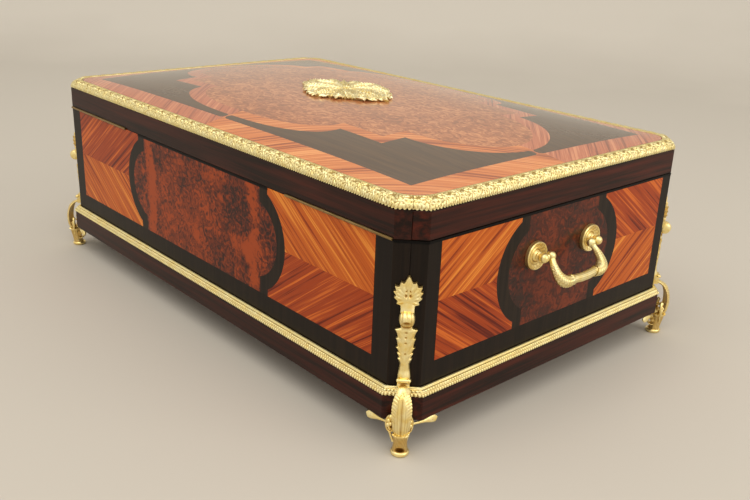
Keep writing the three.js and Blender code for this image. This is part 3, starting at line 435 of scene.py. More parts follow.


# a grid bent round into a tube with filled ends: place(u, v) gives a point and how much painted recess shade it takes
def bentTube(bm, rows, around, place):
    before = bm.calc_volume(signed=True)
    layer = bm.verts.layers.float["recess"]
    verts = bmesh.ops.create_grid(bm, x_segments=rows, y_segments=around, size=1)["verts"]
    for vert in verts:
        vert.co, vert[layer] = place((vert.co.x + 1) / 2, (vert.co.y + 1) / 2)
    bmesh.ops.remove_doubles(bm, verts=verts, dist=0.0005)
    verts = [v for v in verts if v.is_valid]
    rim = list(dict.fromkeys(e for v in verts for e in v.link_edges if e.is_boundary))
    bmesh.ops.holes_fill(bm, edges=rim, sides=0)
    faceOutward(bm, verts, before)
    return verts


# a turned shape about local Z from (radius, height, painted recess shade) points
def turned(bm, profile, steps):
    before = bm.calc_volume(signed=True)
    layer = bm.verts.layers.float["recess"]
    verts = []
    for radius, height, low in profile:
        verts.append(bm.verts.new((radius, 0, height)))
        verts[-1][layer] = low
    edges = [bm.edges.new(pair) for pair in zip(verts, verts[1:])]
    bmesh.ops.spin(
        bm, geom=verts + edges, cent=(0, 0, 0), axis=(0, 0, 1), angle=2 * pi, steps=steps, use_merge=True)
    # all that hangs together with the outline, in a set order
    found, todo = {}, verts
    while todo:
        vert = todo.pop()
        if vert not in found:
            found[vert] = True
            todo += [e.other_vert(vert) for e in vert.link_edges]
    bmesh.ops.remove_doubles(bm, verts=list(found), dist=0.001)
    verts = [v for v in found if v.is_valid]
    faceOutward(bm, verts, before)
    return verts


def moveBy(bm, verts, matrix):
    bmesh.ops.transform(bm, matrix=matrix, verts=verts)


def moveTo(x, y, z):
    return Matrix.Translation((x, y, z))


def turnTo(angle, axis):
    return Matrix.Rotation(radians(angle), 4, axis)


# turns a shape in millimetres into a finished object that rides on a body
def finishPiece(bm, name, body, mats, nodes=(), angle=40):
    bmesh.ops.scale(bm, vec=(mm, mm, mm), verts=bm.verts)
    obj = newObject(bm, name, mats)
    obj.data.set_sharp_from_angle(angle=radians(angle))
    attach(obj, body)
    if nodes:
        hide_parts(*nodes)


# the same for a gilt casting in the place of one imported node, which is carried there first
def finishCasting(bm, name, body, mat, node, place, angle=50):
    moveBy(bm, bm.verts, place)
    finishPiece(bm, name, body, [mat], [node], angle)


# matrices that carry a side or corner, made facing +Y, to its place; halves are along the side and out to it
sideTurns = dict(back=0, left=90, front=180, right=-90)
sideHalves = {side: (case["halfLength"], case["halfWidth"]) for side in ("back", "front")}
sideHalves.update({side: (case["halfWidth"], case["halfLength"]) for side in ("left", "right")})
cornerTurns = dict(back_left=45, front_left=135, front_right=225, back_right=-45)


def cornerMatrix(name):
    cant = case["cantLeg"] / 2
    x, y = case["halfLength"] - cant, case["halfWidth"] - cant
    signX, signY = 1 if "right" in name else -1, 1 if "back" in name else -1
    return moveTo(signX * x, signY * y, case["footHeight"]) @ turnTo(cornerTurns[name], "Z")


print("stage: marquetry of the lid")
lidTop = dict(
    borderX=23.5, borderY=19.8, arrowX=176.5, arrowY=107, cuspX=120, cuspY=79, lobeX=255.5, lobeY=147.6, band=14,
    neck=0.8, neckFlare=3.4, boardBottom=195.3, gap=0.3, gridStep=12, grainAngle=48)
borderX, borderY = topX - lidTop["borderX"], topY - lidTop["borderY"]


def domeHeight(x, y):
    p = case["domePower"]
    return case["topEdge"] + case["dome"] * (1 - abs(x / topX) ** p) * (1 - abs(y / topY) ** p)


# middle, half and outward direction of the straight line between two points
def chord(start, end):
    start, end = Vector(start), Vector(end)
    half = (end - start) / 2
    return (start + end) / 2, half, Vector((half.y, -half.x)).normalized()


# points on a bulging curve between two points, ends left out; power above 1 squares its shoulders
def bulge(start, end, rise, steps, power):
    middle, half, out = chord(start, end)
    points = []
    for i in range(1, steps):
        a = pi * (1 - i / steps)
        side = copysign(abs(cos(a)) ** (1 / power), cos(a))
        points.append(tuple(middle + half * side + out * rise * abs(sin(a)) ** (1 / power)))
    return points


# points on a true arc of a circle between two points, ends left out
def circleArc(start, end, rise, steps):
    middle, half, out = chord(start, end)
    radius = (half.length ** 2 + rise ** 2) / (2 * rise)
    reach = asin(half.length / radius)
    points = []
    for i in range(1, steps):
        a = reach * (2 * i / steps - 1)
        points.append(tuple(middle + half.normalized() * radius * sin(a) + out * (radius * cos(a) - radius + rise)))
    return points


# a lobe of the cartouche whose crown reaches the border by a narrow waist
def addNeck(points, reach):
    neck, flare = lidTop["neck"], lidTop["neckFlare"]
    half = len(points) // 2
    middle = Vector(points[half])
    out = middle.normalized()
    side = Vector((-out.y, out.x))
    if side.dot(Vector(points[half + 1]) - middle) < 0:
        side = -side
    length = reach - middle.length
    waist = [(0.0, -flare), (0.28, -neck * 1.5), (0.55, -neck), (0.8, -neck * 2.2), (1.0, -flare * 1.5)]
    first = [tuple(middle + out * length * a + side * b) for a, b in waist]
    second = [tuple(middle + out * length * a - side * b) for a, b in reversed(waist)]
    offsets = [(p, (Vector(p) - middle).dot(side)) for p in points]
    before = [p for p, offset in offsets if offset < -flare * 1.2]
    after = [p for p, offset in offsets if offset > flare * 1.2]
    return before + first + second + after


# lobed outline of the cartouche, moved in by an inset, anticlockwise from the right-hand lobe
def cartouche(inset, necks=False):
    s = lidTop
    ax, ay, cx, cy = s["arrowX"] - inset, s["arrowY"] - inset, s["cuspX"] - inset * 0.86, s["cuspY"] - inset
    riseX, riseY = s["lobeX"] - inset - ax, s["lobeY"] - inset - ay

    def lobe(start, end, rise, steps, power, reach):
        points = bulge(start, end, rise, steps, power)
        return addNeck(points, reach) if necks else points

    def endLobe(x, y):
        return [(x, -y)] + lobe((x, -y), (x, y), riseX, 30, 1, borderX) + [(x, y)]

    def sideLobe(x, y):
        return [(x, y)] + lobe((x, y), (-x, y), riseY, 36, 1.25, borderY) + [(-x, y)]

    return (endLobe(ax, cy) + [(ax, ay)] + sideLobe(cx, ay) + [(-ax, ay)]
            + endLobe(-ax, -cy) + [(-ax, -ay)] + sideLobe(-cx, -ay) + [(ax, -ay)])


def roundedOutline(halfX, halfY, radius, steps=10):
    points = []
    for quarter, (x, y) in enumerate(((1, 1), (-1, 1), (-1, -1), (1, -1))):
        for i in range(steps + 1):
            a = (quarter + i / steps) * pi / 2
            points.append((x * (halfX - radius) + radius * cos(a), y * (halfY - radius) + radius * sin(a)))
    return points


# fills the flat region between outlines, one material to a region
def addRegion(bm, outlines, slotIndex):
    edges = []
    for outline in outlines:
        verts = [bm.verts.new((x, y, 0)) for x, y in outline]
        edges += [bm.edges.new(pair) for pair in zip(verts, verts[1:] + verts[:1])]
    made = bmesh.ops.triangle_fill(bm, use_beauty=True, use_dissolve=False, edges=edges, normal=(0, 0, 1))["geom"]
    for face in made:
        if isinstance(face, bmesh.types.BMFace):
            face.material_index = slotIndex


# cuts a flat shape by an upright plane that stands across one axis
def cutAt(bm, axis, at):
    place, normal = [0, 0, 0], [0, 0, 0]
    place[axis], normal[axis] = at, 1
    bmesh.ops.bisect_plane(
        bm, geom=bm.verts[:] + bm.edges[:] + bm.faces[:], dist=0.0001, plane_co=place, plane_no=normal)


# the grain of each quarter mirrors its neighbours, so the stripes meet on the middle lines;
# in two of the quarters, slot 0 gives way to slot 3 with the grain turned and painted darker as shade
def quarterGrain(bm, angle, middleY, turnedSign):
    layer = bm.loops.layers.uv.new("grain")
    a = radians(angle)
    for face in bm.faces:
        middle = face.calc_center_median()
        fx, fy = 1 if middle.x >= 0 else -1, 1 if middle.y >= middleY else -1
        if face.material_index == 0 and fx * fy == turnedSign:
            face.material_index = 3
        for loop in face.loops:
            x, y = loop.vert.co.x * fx, (loop.vert.co.y - middleY) * fy
            u, v = y * sin(a) - x * cos(a), x * sin(a) + y * cos(a)
            loop[layer].uv = (u * mm + 0.37 * fx, v * mm + 0.11 * fx * fy + 0.23 * fy)


def makeLidTop():
    s = lidTop
    outerX, outerY = topX - s["gap"], topY - s["gap"]
    edge = roundedOutline(outerX, outerY, case["innerCorner"] - s["gap"])
    ground = [(borderX, borderY), (-borderX, borderY), (-borderX, -borderY), (borderX, -borderY)]
    # the necks stop just short of the border, so that the outlines never cross
    necked = [(x * 0.9996, y * 0.9996) for x, y in cartouche(0, necks=True)]
    inner = cartouche(s["band"])
    bm = newShape()
    for outlines, slotIndex in (([edge, ground], 0), ([ground, necked], 1), ([necked, inner], 0), ([inner], 2)):
        addRegion(bm, outlines, slotIndex)
    # sliced finely enough to follow the dome
    bmesh.ops.remove_doubles(bm, verts=bm.verts, dist=0.02)
    for axis, half in ((0, outerX), (1, outerY)):
        count = round(2 * half / s["gridStep"])
        for i in range(count + 1):
            cutAt(bm, axis, -half + i * 2 * half / count)
    bmesh.ops.remove_doubles(bm, verts=bm.verts, dist=0.02)
    bmesh.ops.recalc_face_normals(bm, faces=bm.faces)
    if sum(f.normal.z for f in bm.faces) < 0:
        bmesh.ops.reverse_faces(bm, faces=bm.faces)
    quarterGrain(bm, s["grainAngle"], 0, 1)
    for vert in bm.verts:
        vert.co.z = domeHeight(vert.co.x, vert.co.y)
    grown = bmesh.ops.extrude_edge_only(bm, edges=[e for e in bm.edges if e.is_boundary])["geom"]
    for vert in (g for g in grown if isinstance(g, bmesh.types.BMVert)):
        vert.co.z = s["boardBottom"]
    bmesh.ops.holes_fill(bm, edges=[e for e in bm.edges if e.is_boundary], sides=0)
    bmesh.ops.recalc_face_normals(bm, faces=bm.faces)
    mats = [tulipwoodVeneer, ebonyTop, burlTopVeneer, tulipwoodTurnedShaded]
    finishPiece(bm, "lidMarquetry", "lid", mats, ["lid_board"])


makeLidTop()

print("stage: marquetry of the sides")
longFace = dict(
    edgeX=261.5, low=74.5, high=177.9, straightIn=106.5, straightOut=118.5, bulgeIn=132.5, bulgeOut=144.8,
    bulgeMiddle=126.5, halfIn=36, halfOut=45.5, proud=0.12, grainAngle=36, burl=burlFaceVeneer, turnedSign=-1)
shortFace = dict(
    longFace, edgeX=154, straightIn=48.8, straightOut=59.5, bulgeIn=70.5, bulgeOut=85.2, burl=burlEndVeneer,
    turnedSign=1)


# outline of the middle panel between its straight ends, wider by the bulge between them
def panelOutline(s, straight, swell, half):
    low, high = s["low"], s["high"]
    a, b = s["bulgeMiddle"] - half, s["bulgeMiddle"] + half
    right = [(straight, low), (straight, a)] + circleArc((straight, a), (straight, b), swell - straight, 26)
    right += [(straight, b), (straight, high)]
    return right + [(-x, z) for x, z in reversed(right)]


def makeFace(side, s):
    low, high, edge = s["low"], s["high"], s["edgeX"]
    bm = newShape()
    outer = panelOutline(s, s["straightOut"], s["bulgeOut"], s["halfOut"])
    inner = panelOutline(s, s["straightIn"], s["bulgeIn"], s["halfIn"])
    addRegion(bm, [inner], 2)
    half = len(outer) // 2
    for band, panel, corners in ((outer[:half], inner[:half], [(edge, high), (edge, low)]),
                                 (outer[half:], inner[half:], [(-edge, low), (-edge, high)])):
        addRegion(bm, [band + panel[::-1]], 1)
        addRegion(bm, [band + corners], 0)
    bmesh.ops.remove_doubles(bm, verts=bm.verts, dist=0.01)
    middle = (low + high) / 2
    cutAt(bm, 1, middle)
    cutAt(bm, 0, 0)
    if sum(f.normal.z * f.calc_area() for f in bm.faces) < 0:
        bmesh.ops.reverse_faces(bm, faces=bm.faces)
    quarterGrain(bm, s["grainAngle"], middle, s["turnedSign"])
    bmesh.ops.solidify(bm, geom=bm.faces[:], thickness=s["proud"] * 0.8)
    # flat drawing (x, z) stands up on the side, facing out
    out = sideHalves[side][1] + s["proud"]
    stand = Matrix(((-1, 0, 0, 0), (0, 0, 1, out), (0, 1, 0, 0), (0, 0, 0, 1)))
    moveBy(bm, bm.verts, turnTo(sideTurns[side], "Z") @ stand)
    bmesh.ops.recalc_face_normals(bm, faces=bm.faces)
    mats = [kingwoodVeneer, ebonyBand, s["burl"], kingwoodTurnedShaded]
    finishPiece(bm, "marquetry_" + side, "case", mats)


for side in ("back", "front"):
    makeFace(side, longFace)
for side in ("left", "right"):
    makeFace(side, shortFace)

# painted shadow: a matt black strip on the top edge of the walls stands in for the shadow line of the seam; at the back
# it stops at the hinges
seamShadow = dict(low=175.7, high=177.95, proud=0.22, depth=1.2, hingeEdge=119)


def addBox(bm, low, high):
    verts = bmesh.ops.create_cube(bm, size=1)["verts"]
    for vert in verts:
        vert.co = Vector(a + (b - a) * (c + 0.5) for a, b, c in zip(low, high, vert.co))
    return verts


def makeSeamShadow():
    s = seamShadow
    bm = newShape()
    leg = case["cantLeg"]
    for side, (half, out) in sideHalves.items():
        reach = s["hingeEdge"] if side == "back" else half - leg
        verts = addBox(bm, (-reach, out - s["depth"], s["low"]), (reach, out + s["proud"], s["high"]))
        moveBy(bm, verts, turnTo(sideTurns[side], "Z"))
    reach = leg / sqrt(2)
    for corner in cornerTurns:
        verts = addBox(bm, (-reach, -s["depth"], s["low"]), (reach, s["proud"], s["high"]))
        moveBy(bm, verts, moveTo(0, 0, -case["footHeight"]) @ cornerMatrix(corner))
    finishPiece(bm, "seamShadowStrip", "case", [seamShadowBlack])


makeSeamShadow()

print("stage: mouldings")
topMoulding = dict(
    pitch=14.4, scallop=2.9, scallopDepth=1.3, relief=1.15, step=0.52, columns=56, hang=1.3, height=9.3, turn=22.3,
    lift=0.3, mitre=0.2)


# height of the chased vine at a place along the moulding, over from its outer edge to its inner edge:
# a small C-scroll with leaflets round it, turned over at every repeat, and a fleuron between two scrolls
def topRelief(where, over):
    pitch, across = topMoulding["pitch"], 14
    k = floor(where / pitch)
    x = (where / pitch - k - 0.5) * pitch
    y = (over - 0.52) * across * (1 if k % 2 else -1)
    r, a = hypot(x, y), atan2(y, x)
    turn = (a / (2 * pi) + 0.25) % 1.0
    scroll = hump(r - 1.3 - 1.0 * turn, 0, 0.5)
    eye = hump(r, 0, 0.75)
    leaf = wave(9 * a + 0.7 * r) * smoothstep(2.3, 3.0, r) * (1 - smoothstep(5.4, 6.6, r))
    px, py = pitch / 2 - abs(x), (over - 0.38) * across
    d, b = hypot(px, py), atan2(px, py)
    fleuron = (0.35 + 0.65 * cos(4 * b) ** 2) * smoothstep(0.4, 1.0, d) * (1 - smoothstep(2.2, 3.2, d))
    blade = wave(2 * pi * where / (pitch / 6) + 5 * over)
    outer = blade * (1 - smoothstep(0.2, 0.3, over)) + blade * smoothstep(0.72, 0.82, over)
    return min(1.0, max(0.9 * scroll, eye, 0.85 * leaf, 0.95 * fleuron, 0.75 * outer))


def makeTopMoulding(side):
    s = topMoulding
    u, v = sideHalves[side]
    w, radius, leg, high, turn = case["mouldingWidth"], case["innerCorner"], case["cantLeg"], s["height"], s["turn"]
    startU, centreV = u - w - radius, v - w - radius
    start, vertex, middle = Vector((startU, v)), Vector((u - leg, v)), Vector((u - leg / 2 - s["mitre"], v - leg / 2))
    reach = startU + turn
    # section as shares of width, from outside in, and of height
    profile = [(0.0, 0.0), (0.0, 0.10), (0.0, 0.22), (0.03, 0.36), (0.08, 0.5), (0.15, 0.63), (0.24, 0.75),
               (0.35, 0.84), (0.47, 0.91), (0.6, 0.95), (0.72, 0.955), (0.82, 0.94), (0.89, 0.92), (0.94, 0.91),
               (0.98, 0.9), (1.0, 0.86), (1.0, 0.5), (1.0, 0.0), (0.5, 0.0), (0.0, 0.0)]
    lengths, pointAt = measureOutline(profile, w, high)
    total, shown = lengths[-1], lengths[13]

    # outer and inner edge at a place along the side; past its straight run they turn half a corner
    def edges(where):
        sign = 1 if where >= 0 else -1
        far = abs(where) - startU
        if far <= 0:
            return Vector((where, v)), Vector((where, v - w))
        part = min(1.0, far / turn)
        a = part * pi / 4
        inner = Vector((startU + radius * sin(a), centreV + radius * cos(a)))
        outer = start.lerp(vertex, 2 * part) if part <= 0.5 else vertex.lerp(middle, 2 * part - 1)
        if part == 1.0:
            inner.x -= s["mitre"]
        return Vector((sign * outer.x, outer.y)), Vector((sign * inner.x, inner.y))

    def place(share, around):
        where = (2 * share - 1) * reach
        outer, inner = edges(where)
        # columns crowd on the face that shows
        run = around / 0.8 * shown if around < 0.8 else shown + (around - 0.8) / 0.2 * (total - shown)
        a, b = pointAt(run)
        low = 0.0
        scallop = abs(cos(pi * where / s["scallop"]))
        swing = (scallop - 0.7) * s["scallopDepth"]
        if run < shown:
            over = run / shown
            rise = topRelief(where, over)
            edge = 1 - smoothstep(0.0, 0.15, over)
            opened = smoothstep(0.04, 0.12, over)
            lift = (rise - 0.35) * s["relief"] * opened * (1 - smoothstep(0.9, 0.99, over)) + edge * swing
            a -= lift / w * (1 - over) * 0.8
            b += lift / high * (0.35 + 0.65 * over) + edge * (1 - scallop) * s["hang"] / high
            # painted shade in the hollows of the vine and between the scallops of the hanging edge
            low = (1 - smoothstep(0.05, 0.35, rise)) * opened * (1 - smoothstep(0.86, 0.95, over))
            low = max(low * 0.75, edge * (1 - smoothstep(0.1, 0.5, scallop)) * 0.9)
        elif a < 0.5 and b < 0.01:
            # the underside meets the hanging edge
            part = 1 - a / 0.5
            a -= part * swing / w * 0.8
            b += part * (swing * 0.35 + (1 - scallop) * s["hang"]) / high
        flat = outer.lerp(inner, a)
        return Vector((flat.x, flat.y, case["lidRailTop"] + s["lift"] + b * high)), low

    bm = newShape()
    bentTube(bm, round(2 * reach / s["step"]), s["columns"], place)
    turnSide = turnTo(sideTurns[side], "Z")
    finishCasting(bm, "topMoulding_" + side, "lid", giltBronzePale, "top_moulding_" + side, turnSide, angle=60)


lowerMoulding = dict(bead=2.75, step=0.45, columns=40, lift=0.3, mitre=0.2)


def makeLowerMoulding(side):
    s = lowerMoulding
    u, v = sideHalves[side]
    # (out from the wall, up): fillet, bead row, cove, scalloped leaf edge that hangs on the ledge
    profile = [(0.3, 0.0), (5.6, 0.0), (6.6, 0.25), (6.7, 0.9), (6.35, 1.8), (5.95, 2.5), (5.3, 2.75), (4.9, 3.0),
               (4.85, 3.7), (4.4, 4.4), (3.7, 4.75), (3.0, 4.8), (2.7, 5.2), (2.65, 6.0), (2.2, 6.4), (0.3, 6.4),
               (0.3, 0.0)]
    lengths, pointAt = measureOutline(profile)
    first, last, total = lengths[1], lengths[14], lengths[-1]
    vertexU = u - case["cantLeg"]
    turn = case["cantLeg"] / sqrt(2)
    reach = vertexU + turn

    def place(share, around):
        where = (2 * share - 1) * reach
        if around < 0.08:
            run = around / 0.08 * first
        elif around < 0.88:
            run = first + (around - 0.08) / 0.8 * (last - first)
        else:
            run = last + (around - 0.88) / 0.12 * (total - last)
        out, up = pointAt(run)
        over = (run - first) / (last - first)
        low = 0.0
        if 0 < over < 1:
            beat = where / s["bead"]
            scallop = abs(cos(pi * beat))
            leafPart = 1 - smoothstep(0.34, 0.46, over)
            out += leafPart * (scallop - 0.6) * 0.9 * smoothstep(0.0, 0.08, over)
            beadRow = smoothstep(0.42, 0.5, over) * (1 - smoothstep(0.66, 0.74, over))
            bead = sqrt(max(0.0, 1 - ((beat % 1.0 - 0.5) / 0.5) ** 2))
            out += beadRow * (bead - 0.55) * 0.9
            up += beadRow * (bead - 0.55) * 0.6
            # painted shade between the scallops, round the beads and along the grooves either side of the bead row
            low = max(leafPart * (1 - smoothstep(0.1, 0.55, scallop)) * 0.9,
                      beadRow * (1 - smoothstep(0.2, 0.7, bead)), 0.7 * hump(over, 0.40, 0.03),
                      0.7 * hump(over, 0.77, 0.03))
        sign = 1 if where >= 0 else -1
        far = abs(where) - vertexU
        leg = case["cantLeg"] + out * (2 - sqrt(2))
        if far <= 0:
            x, y = (u + out - leg) * abs(where) / vertexU, v + out
        else:
            part = min(1.0, far / turn)
            x, y = u + out - leg + part * (leg / 2 - s["mitre"]), v + out - part * leg / 2
        return Vector((sign * x, y, case["plinthTop"] + s["lift"] + up)), low

    bm = newShape()
    bentTube(bm, round(2 * reach / s["step"]), s["columns"], place)
    turnSide = turnTo(sideTurns[side], "Z")
    finishCasting(bm, "lowerMoulding_" + side, "case", giltBronzePale, "lower_moulding_" + side, turnSide, angle=60)


for side in sideTurns:
    makeTopMoulding(side)
    makeLowerMoulding(side)

print("stage: corner mounts")


# an open way along a curve: leaves and ribbons follow it, up says which way their face looks;
# the edge of a leaf is cut into teeth that point to its tip, and veins run beside its midrib
def addLeaf(bm, spine, half, blade, up, teeth=0, cut=0.42, lead=0.0, rib=0.35, veins=0.0, curl=0.0, rows=44, around=20):
    spine = [Vector(p) for p in spine]
    up = Vector(up)

    def place(u, v):
        ahead = aheadAt(spine, u)
        side = ahead.cross(up).normalized()
        face = side.cross(ahead)
        wide = max(0.02, along(half, u))
        c, s = cos(2 * pi * v), sin(2 * pi * v)
        # painted shade between the teeth, in a grooved midrib and between the veins
        low = 0.0
        if teeth:
            tooth = (u * teeth) % 1.0
            wide *= 1 - cut * (1 - tooth) ** 1.4
            low = 0.35 * abs(c) * max(0.0, 1 - tooth * 3)
        across = copysign(abs(c) ** 0.85, c)
        if s >= 0:
            ridge = rib * hump(across, 0, 0.16 if rib > 0 else 0.1)
            vein = veins * cos(2 * pi * (u * max(teeth, 5) - 0.9 * abs(across))) * (1 - across ** 2)
            rise = blade * (0.62 * abs(s) ** 0.7 + ridge + vein)
            if rib < 0:
                low = max(low, hump(across, 0, 0.1))
            if veins:
                low = max(low, 0.8 * max(0.0, -vein / veins))
        else:
            rise = -blade * 0.38 * abs(s) ** 0.7
        rise -= curl * across ** 2
        return along(spine, u) + side * wide * across + face * rise + ahead * lead * across ** 2, low

    bentTube(bm, rows, around, place)


# a relief that lies on a wall facing +Y: rows go up, the sides drop to the wall
def addStrip(bm, lowZ, highZ, rows, around, halfWidth, rise):
    back = 0.3  # off the wall

    def place(u, v):
        z = lowZ + u * (highZ - lowZ)
        wide = halfWidth(z)
        # one way round: up the left side, over the face, down the right side and back behind it
        if 0.08 <= v <= 0.78:
            s = -1 + 2 * (v - 0.08) / 0.70
            out, lift, low = rise(z, s)
            return Vector((s * wide, out, z + lift)), low
        # the sides that drop to the wall and the part behind take painted shade
        if v <= 0.86:
            t, s = (v / 0.08, -1) if v < 0.08 else ((0.86 - v) / 0.08, 1)
            out, lift, low = rise(z, s)
            return Vector((s * wide, back + t * (out - back), z + lift)), 0.3 * (1 - t)
        s = 1 - 2 * (v - 0.86) / 0.14
        out, lift, low = rise(z, s)
        return Vector((s * wide, back, z + lift)), 0.3

    bentTube(bm, rows, around, place)


# a relief spread round a centre: reach(angle) is its outline, rise(angle, share) its height, and its rim
# drops to the back, with as much painted recess shade as wall says
def addFan(bm, centre, reach, rise, back, rows, around, wall=0.4):
    def place(u, v):
        a = 2 * pi * v - pi
        share = min(1.0, u / 0.86)
        r = reach(a)
        out, low = rise(a, share)
        if u > 0.86:
            out, low = back + (out - back) * (1 - (u - 0.86) / 0.14), wall
        return Vector((centre[0] + share * r * sin(a), centre[1] + out, centre[2] + share * r * cos(a))), low

    return bentTube(bm, rows, around, place)


# a roll that lies across the mount, with spiral ends
def addRoll(bm, out, up, radius, width, grooves):
    half = width / 2
    # the turns of the spiral ends and the grooves of the middle take painted shade
    end = [(0, -0.1, 0.6), (0.16, -0.5, 0.0), (0.3, -0.1, 0.9), (0.5, -0.05, 0.2), (0.66, 0.25, 0.9),
           (0.84, -0.25, 0.1), (1, 0.25, 0.0), (1.04, 0.8, 0.0), (1, 1.3, 0.2), (0.9, 1.7, 0.8)]
    end = [(radius * share, inward - half, low) for share, inward, low in end]
    middle = []
    for i in range(1, grooves * 4):
        t = i / (grooves * 4)
        ripple = wave(2 * pi * grooves * t + pi)
        r = radius * (0.88 + 0.07 * sin(pi * t) + 0.05 * ripple)
        middle.append((r, -half + 1.7 + t * (width - 3.4), 0.6 * (1 - ripple)))
    verts = turned(bm, end + middle + [(r, -h, low) for r, h, low in reversed(end)], 30)
    moveBy(bm, verts, moveTo(0, out, up) @ turnTo(90, "Y"))


def addBall(bm, radius, place, low=0.0):
    profile = [(radius * sin(pi * i / 10), -radius * cos(pi * i / 10), low) for i in range(11)]
    moveBy(bm, turned(bm, profile, 16), moveTo(*place))


# tips are leaves of the palmette as (degrees from upright, reach) and of the husk as (height, half width)
mount = dict(
    palmetteAt=(0, 0.3, 103.0), notch=0.17, knuckleOut=6.4, knuckleUp=88.9, knuckleRadius=6.2, knuckleHalf=6.2,
    tips=[(0, 19.4), (21, 15.6), (42, 15.6), (58, 13.4), (78, 11.0), (109, 9.2), (140, 8.6)],
    huskTips=[(76.1, 8.9), (69.2, 8.0), (61.4, 7.7), (56.5, 6.8), (52.3, 5.8), (48.0, 4.1), (36.0, 5.1)],
    huskTop=83.5, huskCut=0.24, plainBelow=53, pits=[75.6, 71.4, 66.6, 57.4], collarUp=36.2, collarHalf=5.4)


def palmetteReach(angle):
    tips = mount["tips"]
    a = abs(degrees(angle))
    for (a0, r0), (a1, r1) in zip(tips, tips[1:]):
        if a <= a1:
            # each notch lies nearer to the lower leaf, so the tips point upwards
            t = (a - a0) / (a1 - a0)
            cut = sin(pi * t ** 1.5) ** 0.9
            return (r0 + (r1 - r0) * t) * (1 - mount["notch"] * cut)
    lastAngle, lastReach = tips[-1]
    return lastReach * (1 - 0.12 * min(1.0, (a - lastAngle) / (180 - lastAngle)))


# painted shade in the hollows by the seeds and between the leaves towards the edge
def palmetteRise(angle, share):
    a = abs(degrees(angle))
    rib = hump(min(abs(a - tip) for tip, reach in mount["tips"]), 0, 7.0)
    seed = max(hump(share, 0.27, 0.075) * hump(a, 27, 17), 0.7 * hump(share, 0.5, 0.05) * hump(a, 12, 7))
    dish = 1.7 + 2.4 * sin(pi * min(1.0, 0.3 + share * 0.55)) + 0.7 * smoothstep(0.8, 1.0, share)
    out = dish + 0.45 * rib * smoothstep(0.35, 0.7, share) - 1.5 * seed + 0.8 * hump(share, 0, 0.2)
    edge = smoothstep(0.5, 0.65, share) * (1 - smoothstep(0.75, 0.92, share))
    return out, min(1.0, max(seed, 0.3 * (1 - smoothstep(0.0, 0.5, rib)) * edge))


def huskWidth(z):
    tips = mount["huskTips"]
    topZ, topWidth = tips[0]
    if z >= topZ:
        return topWidth * (1 - 0.5 * smoothstep(0.0, 1.6, z - topZ))
    for (z0, w0), (z1, w1) in zip(tips, tips[1:]):
        if z >= z1:
            t = (z0 - z) / (z0 - z1)
            if z0 > mount["plainBelow"]:
                return (w0 + (w1 - w0) * t) * (1 - mount["huskCut"] * t ** 0.7)
            return w0 + (w1 - w0) * smoothstep(0.0, 1.0, t)
    return tips[-1][1]


# painted shade in the pits and between the veins, and a painted shadow across the top of the husk under the knuckle
def huskRise(z, s):
    leafy = smoothstep(47, 54, z)
    vein = wave(2 * pi * (z - 8.5 * abs(s)) / 7.6)
    body = 1.9 + 2.8 * (1 - abs(s) ** 2.4) + leafy * 0.9 * abs(s) ** 2 + 1.9 * (1 - smoothstep(37, 44, z))
    chased = leafy * (0.42 * vein * (0.3 + 0.7 * abs(s)) - 0.35 * hump(s, 0, 0.14))
    out = body + chased + (1 - leafy) * 0.18 * cos(s * 9)
    hole = max(hump(z, pit, 0.75) * hump(s, 0, 0.13) for pit in mount["pits"])
    low = max(leafy * 0.3 * (1 - smoothstep(0.0, 0.4, vein)) * abs(s), hole, 0.95 * smoothstep(78.4, 80.5, z))
    return out - 0.9 * hole, leafy * 1.6 * s * s, low


def makeMount(corner):
    s = mount
    bm = newShape()
    addFan(bm, s["palmetteAt"], palmetteReach, palmetteRise, 0, 30, 240)
    addStrip(bm, s["collarUp"], s["huskTop"], 170, 56, huskWidth, huskRise)

    # rounded knuckle under the palmette: a folded leaf with a hollow where it curls in; the hollow, the grooves and the
    # middle are painted dark as shade
    def knuckle(u, v):
        across = 2 * u - 1
        a = 2 * pi * v
        groove = hump(abs(across), 0.58, 0.09)
        middle = hump(across, 0, 0.1) * smoothstep(0.0, 0.5, sin(a))
        deep = hump(across, 0, 0.45) * hump(degrees(a), 330, 24)
        radius = s["knuckleRadius"] * (1 - 0.32 * abs(across) ** 3.5) * sqrt(max(0.0, 1 - across ** 8))
        radius -= 0.55 * groove + 0.35 * middle + 2.4 * deep
        point = (across * s["knuckleHalf"], s["knuckleOut"] + radius * cos(a), s["knuckleUp"] + radius * sin(a))
        return Vector(point), min(1.0, max(0.45 * groove, 0.3 * middle, 1.3 * deep))

    bentTube(bm, 64, 72, knuckle)

    # neck that ties the palmette to the knuckle, faintly painted with shade
    def neckRise(z, t):
        return 8.2 - 0.34 * (z - 90) - 1.5 * t * t, 0, 0.1

    addStrip(bm, 90.0, 101.5, 24, 40, lambda z: 5.5 - 0.04 * (z - 90), neckRise)

    # the collar: a rounded bar with a ball at each end, painted with a little shade where each ball meets the bar, over
    # a hollow neck
    collar = [(0, -0.5, 0), (0.9, -0.3, 0), (1.6, 0.4, 0), (1.75, 1.0, 0), (1.45, 1.7, 0.3), (1.6, 2.5, 0)]
    collar = [(r, inward - s["collarHalf"], low) for r, inward, low in collar]
    collar += [(1.75, 0, 0)] + [(r, -h, low) for r, h, low in reversed(collar)]
    place = moveTo(0, 7.4, s["collarUp"]) @ turnTo(90, "Y") @ Matrix.Diagonal((1.0, 1.35, 1.0, 1.0))
    moveBy(bm, turned(bm, collar, 22), place)

    # painted shade in the hollow neck under the collar
    def hollowRise(z, t):
        hollow = sin(pi * min(1.0, max(0.0, (z - 31.2) / 4.4))) * (1 - t * t)
        return 7.6 - 2.4 * hollow, 0, 0.9 * hollow

    addStrip(bm, 30.4, 36.4, 16, 32, lambda z: 4.9, hollowRise)
    name = "cornerMount_" + corner
    finishCasting(bm, name, "case", giltBronze, "corner_mount_" + corner, cornerMatrix(corner))


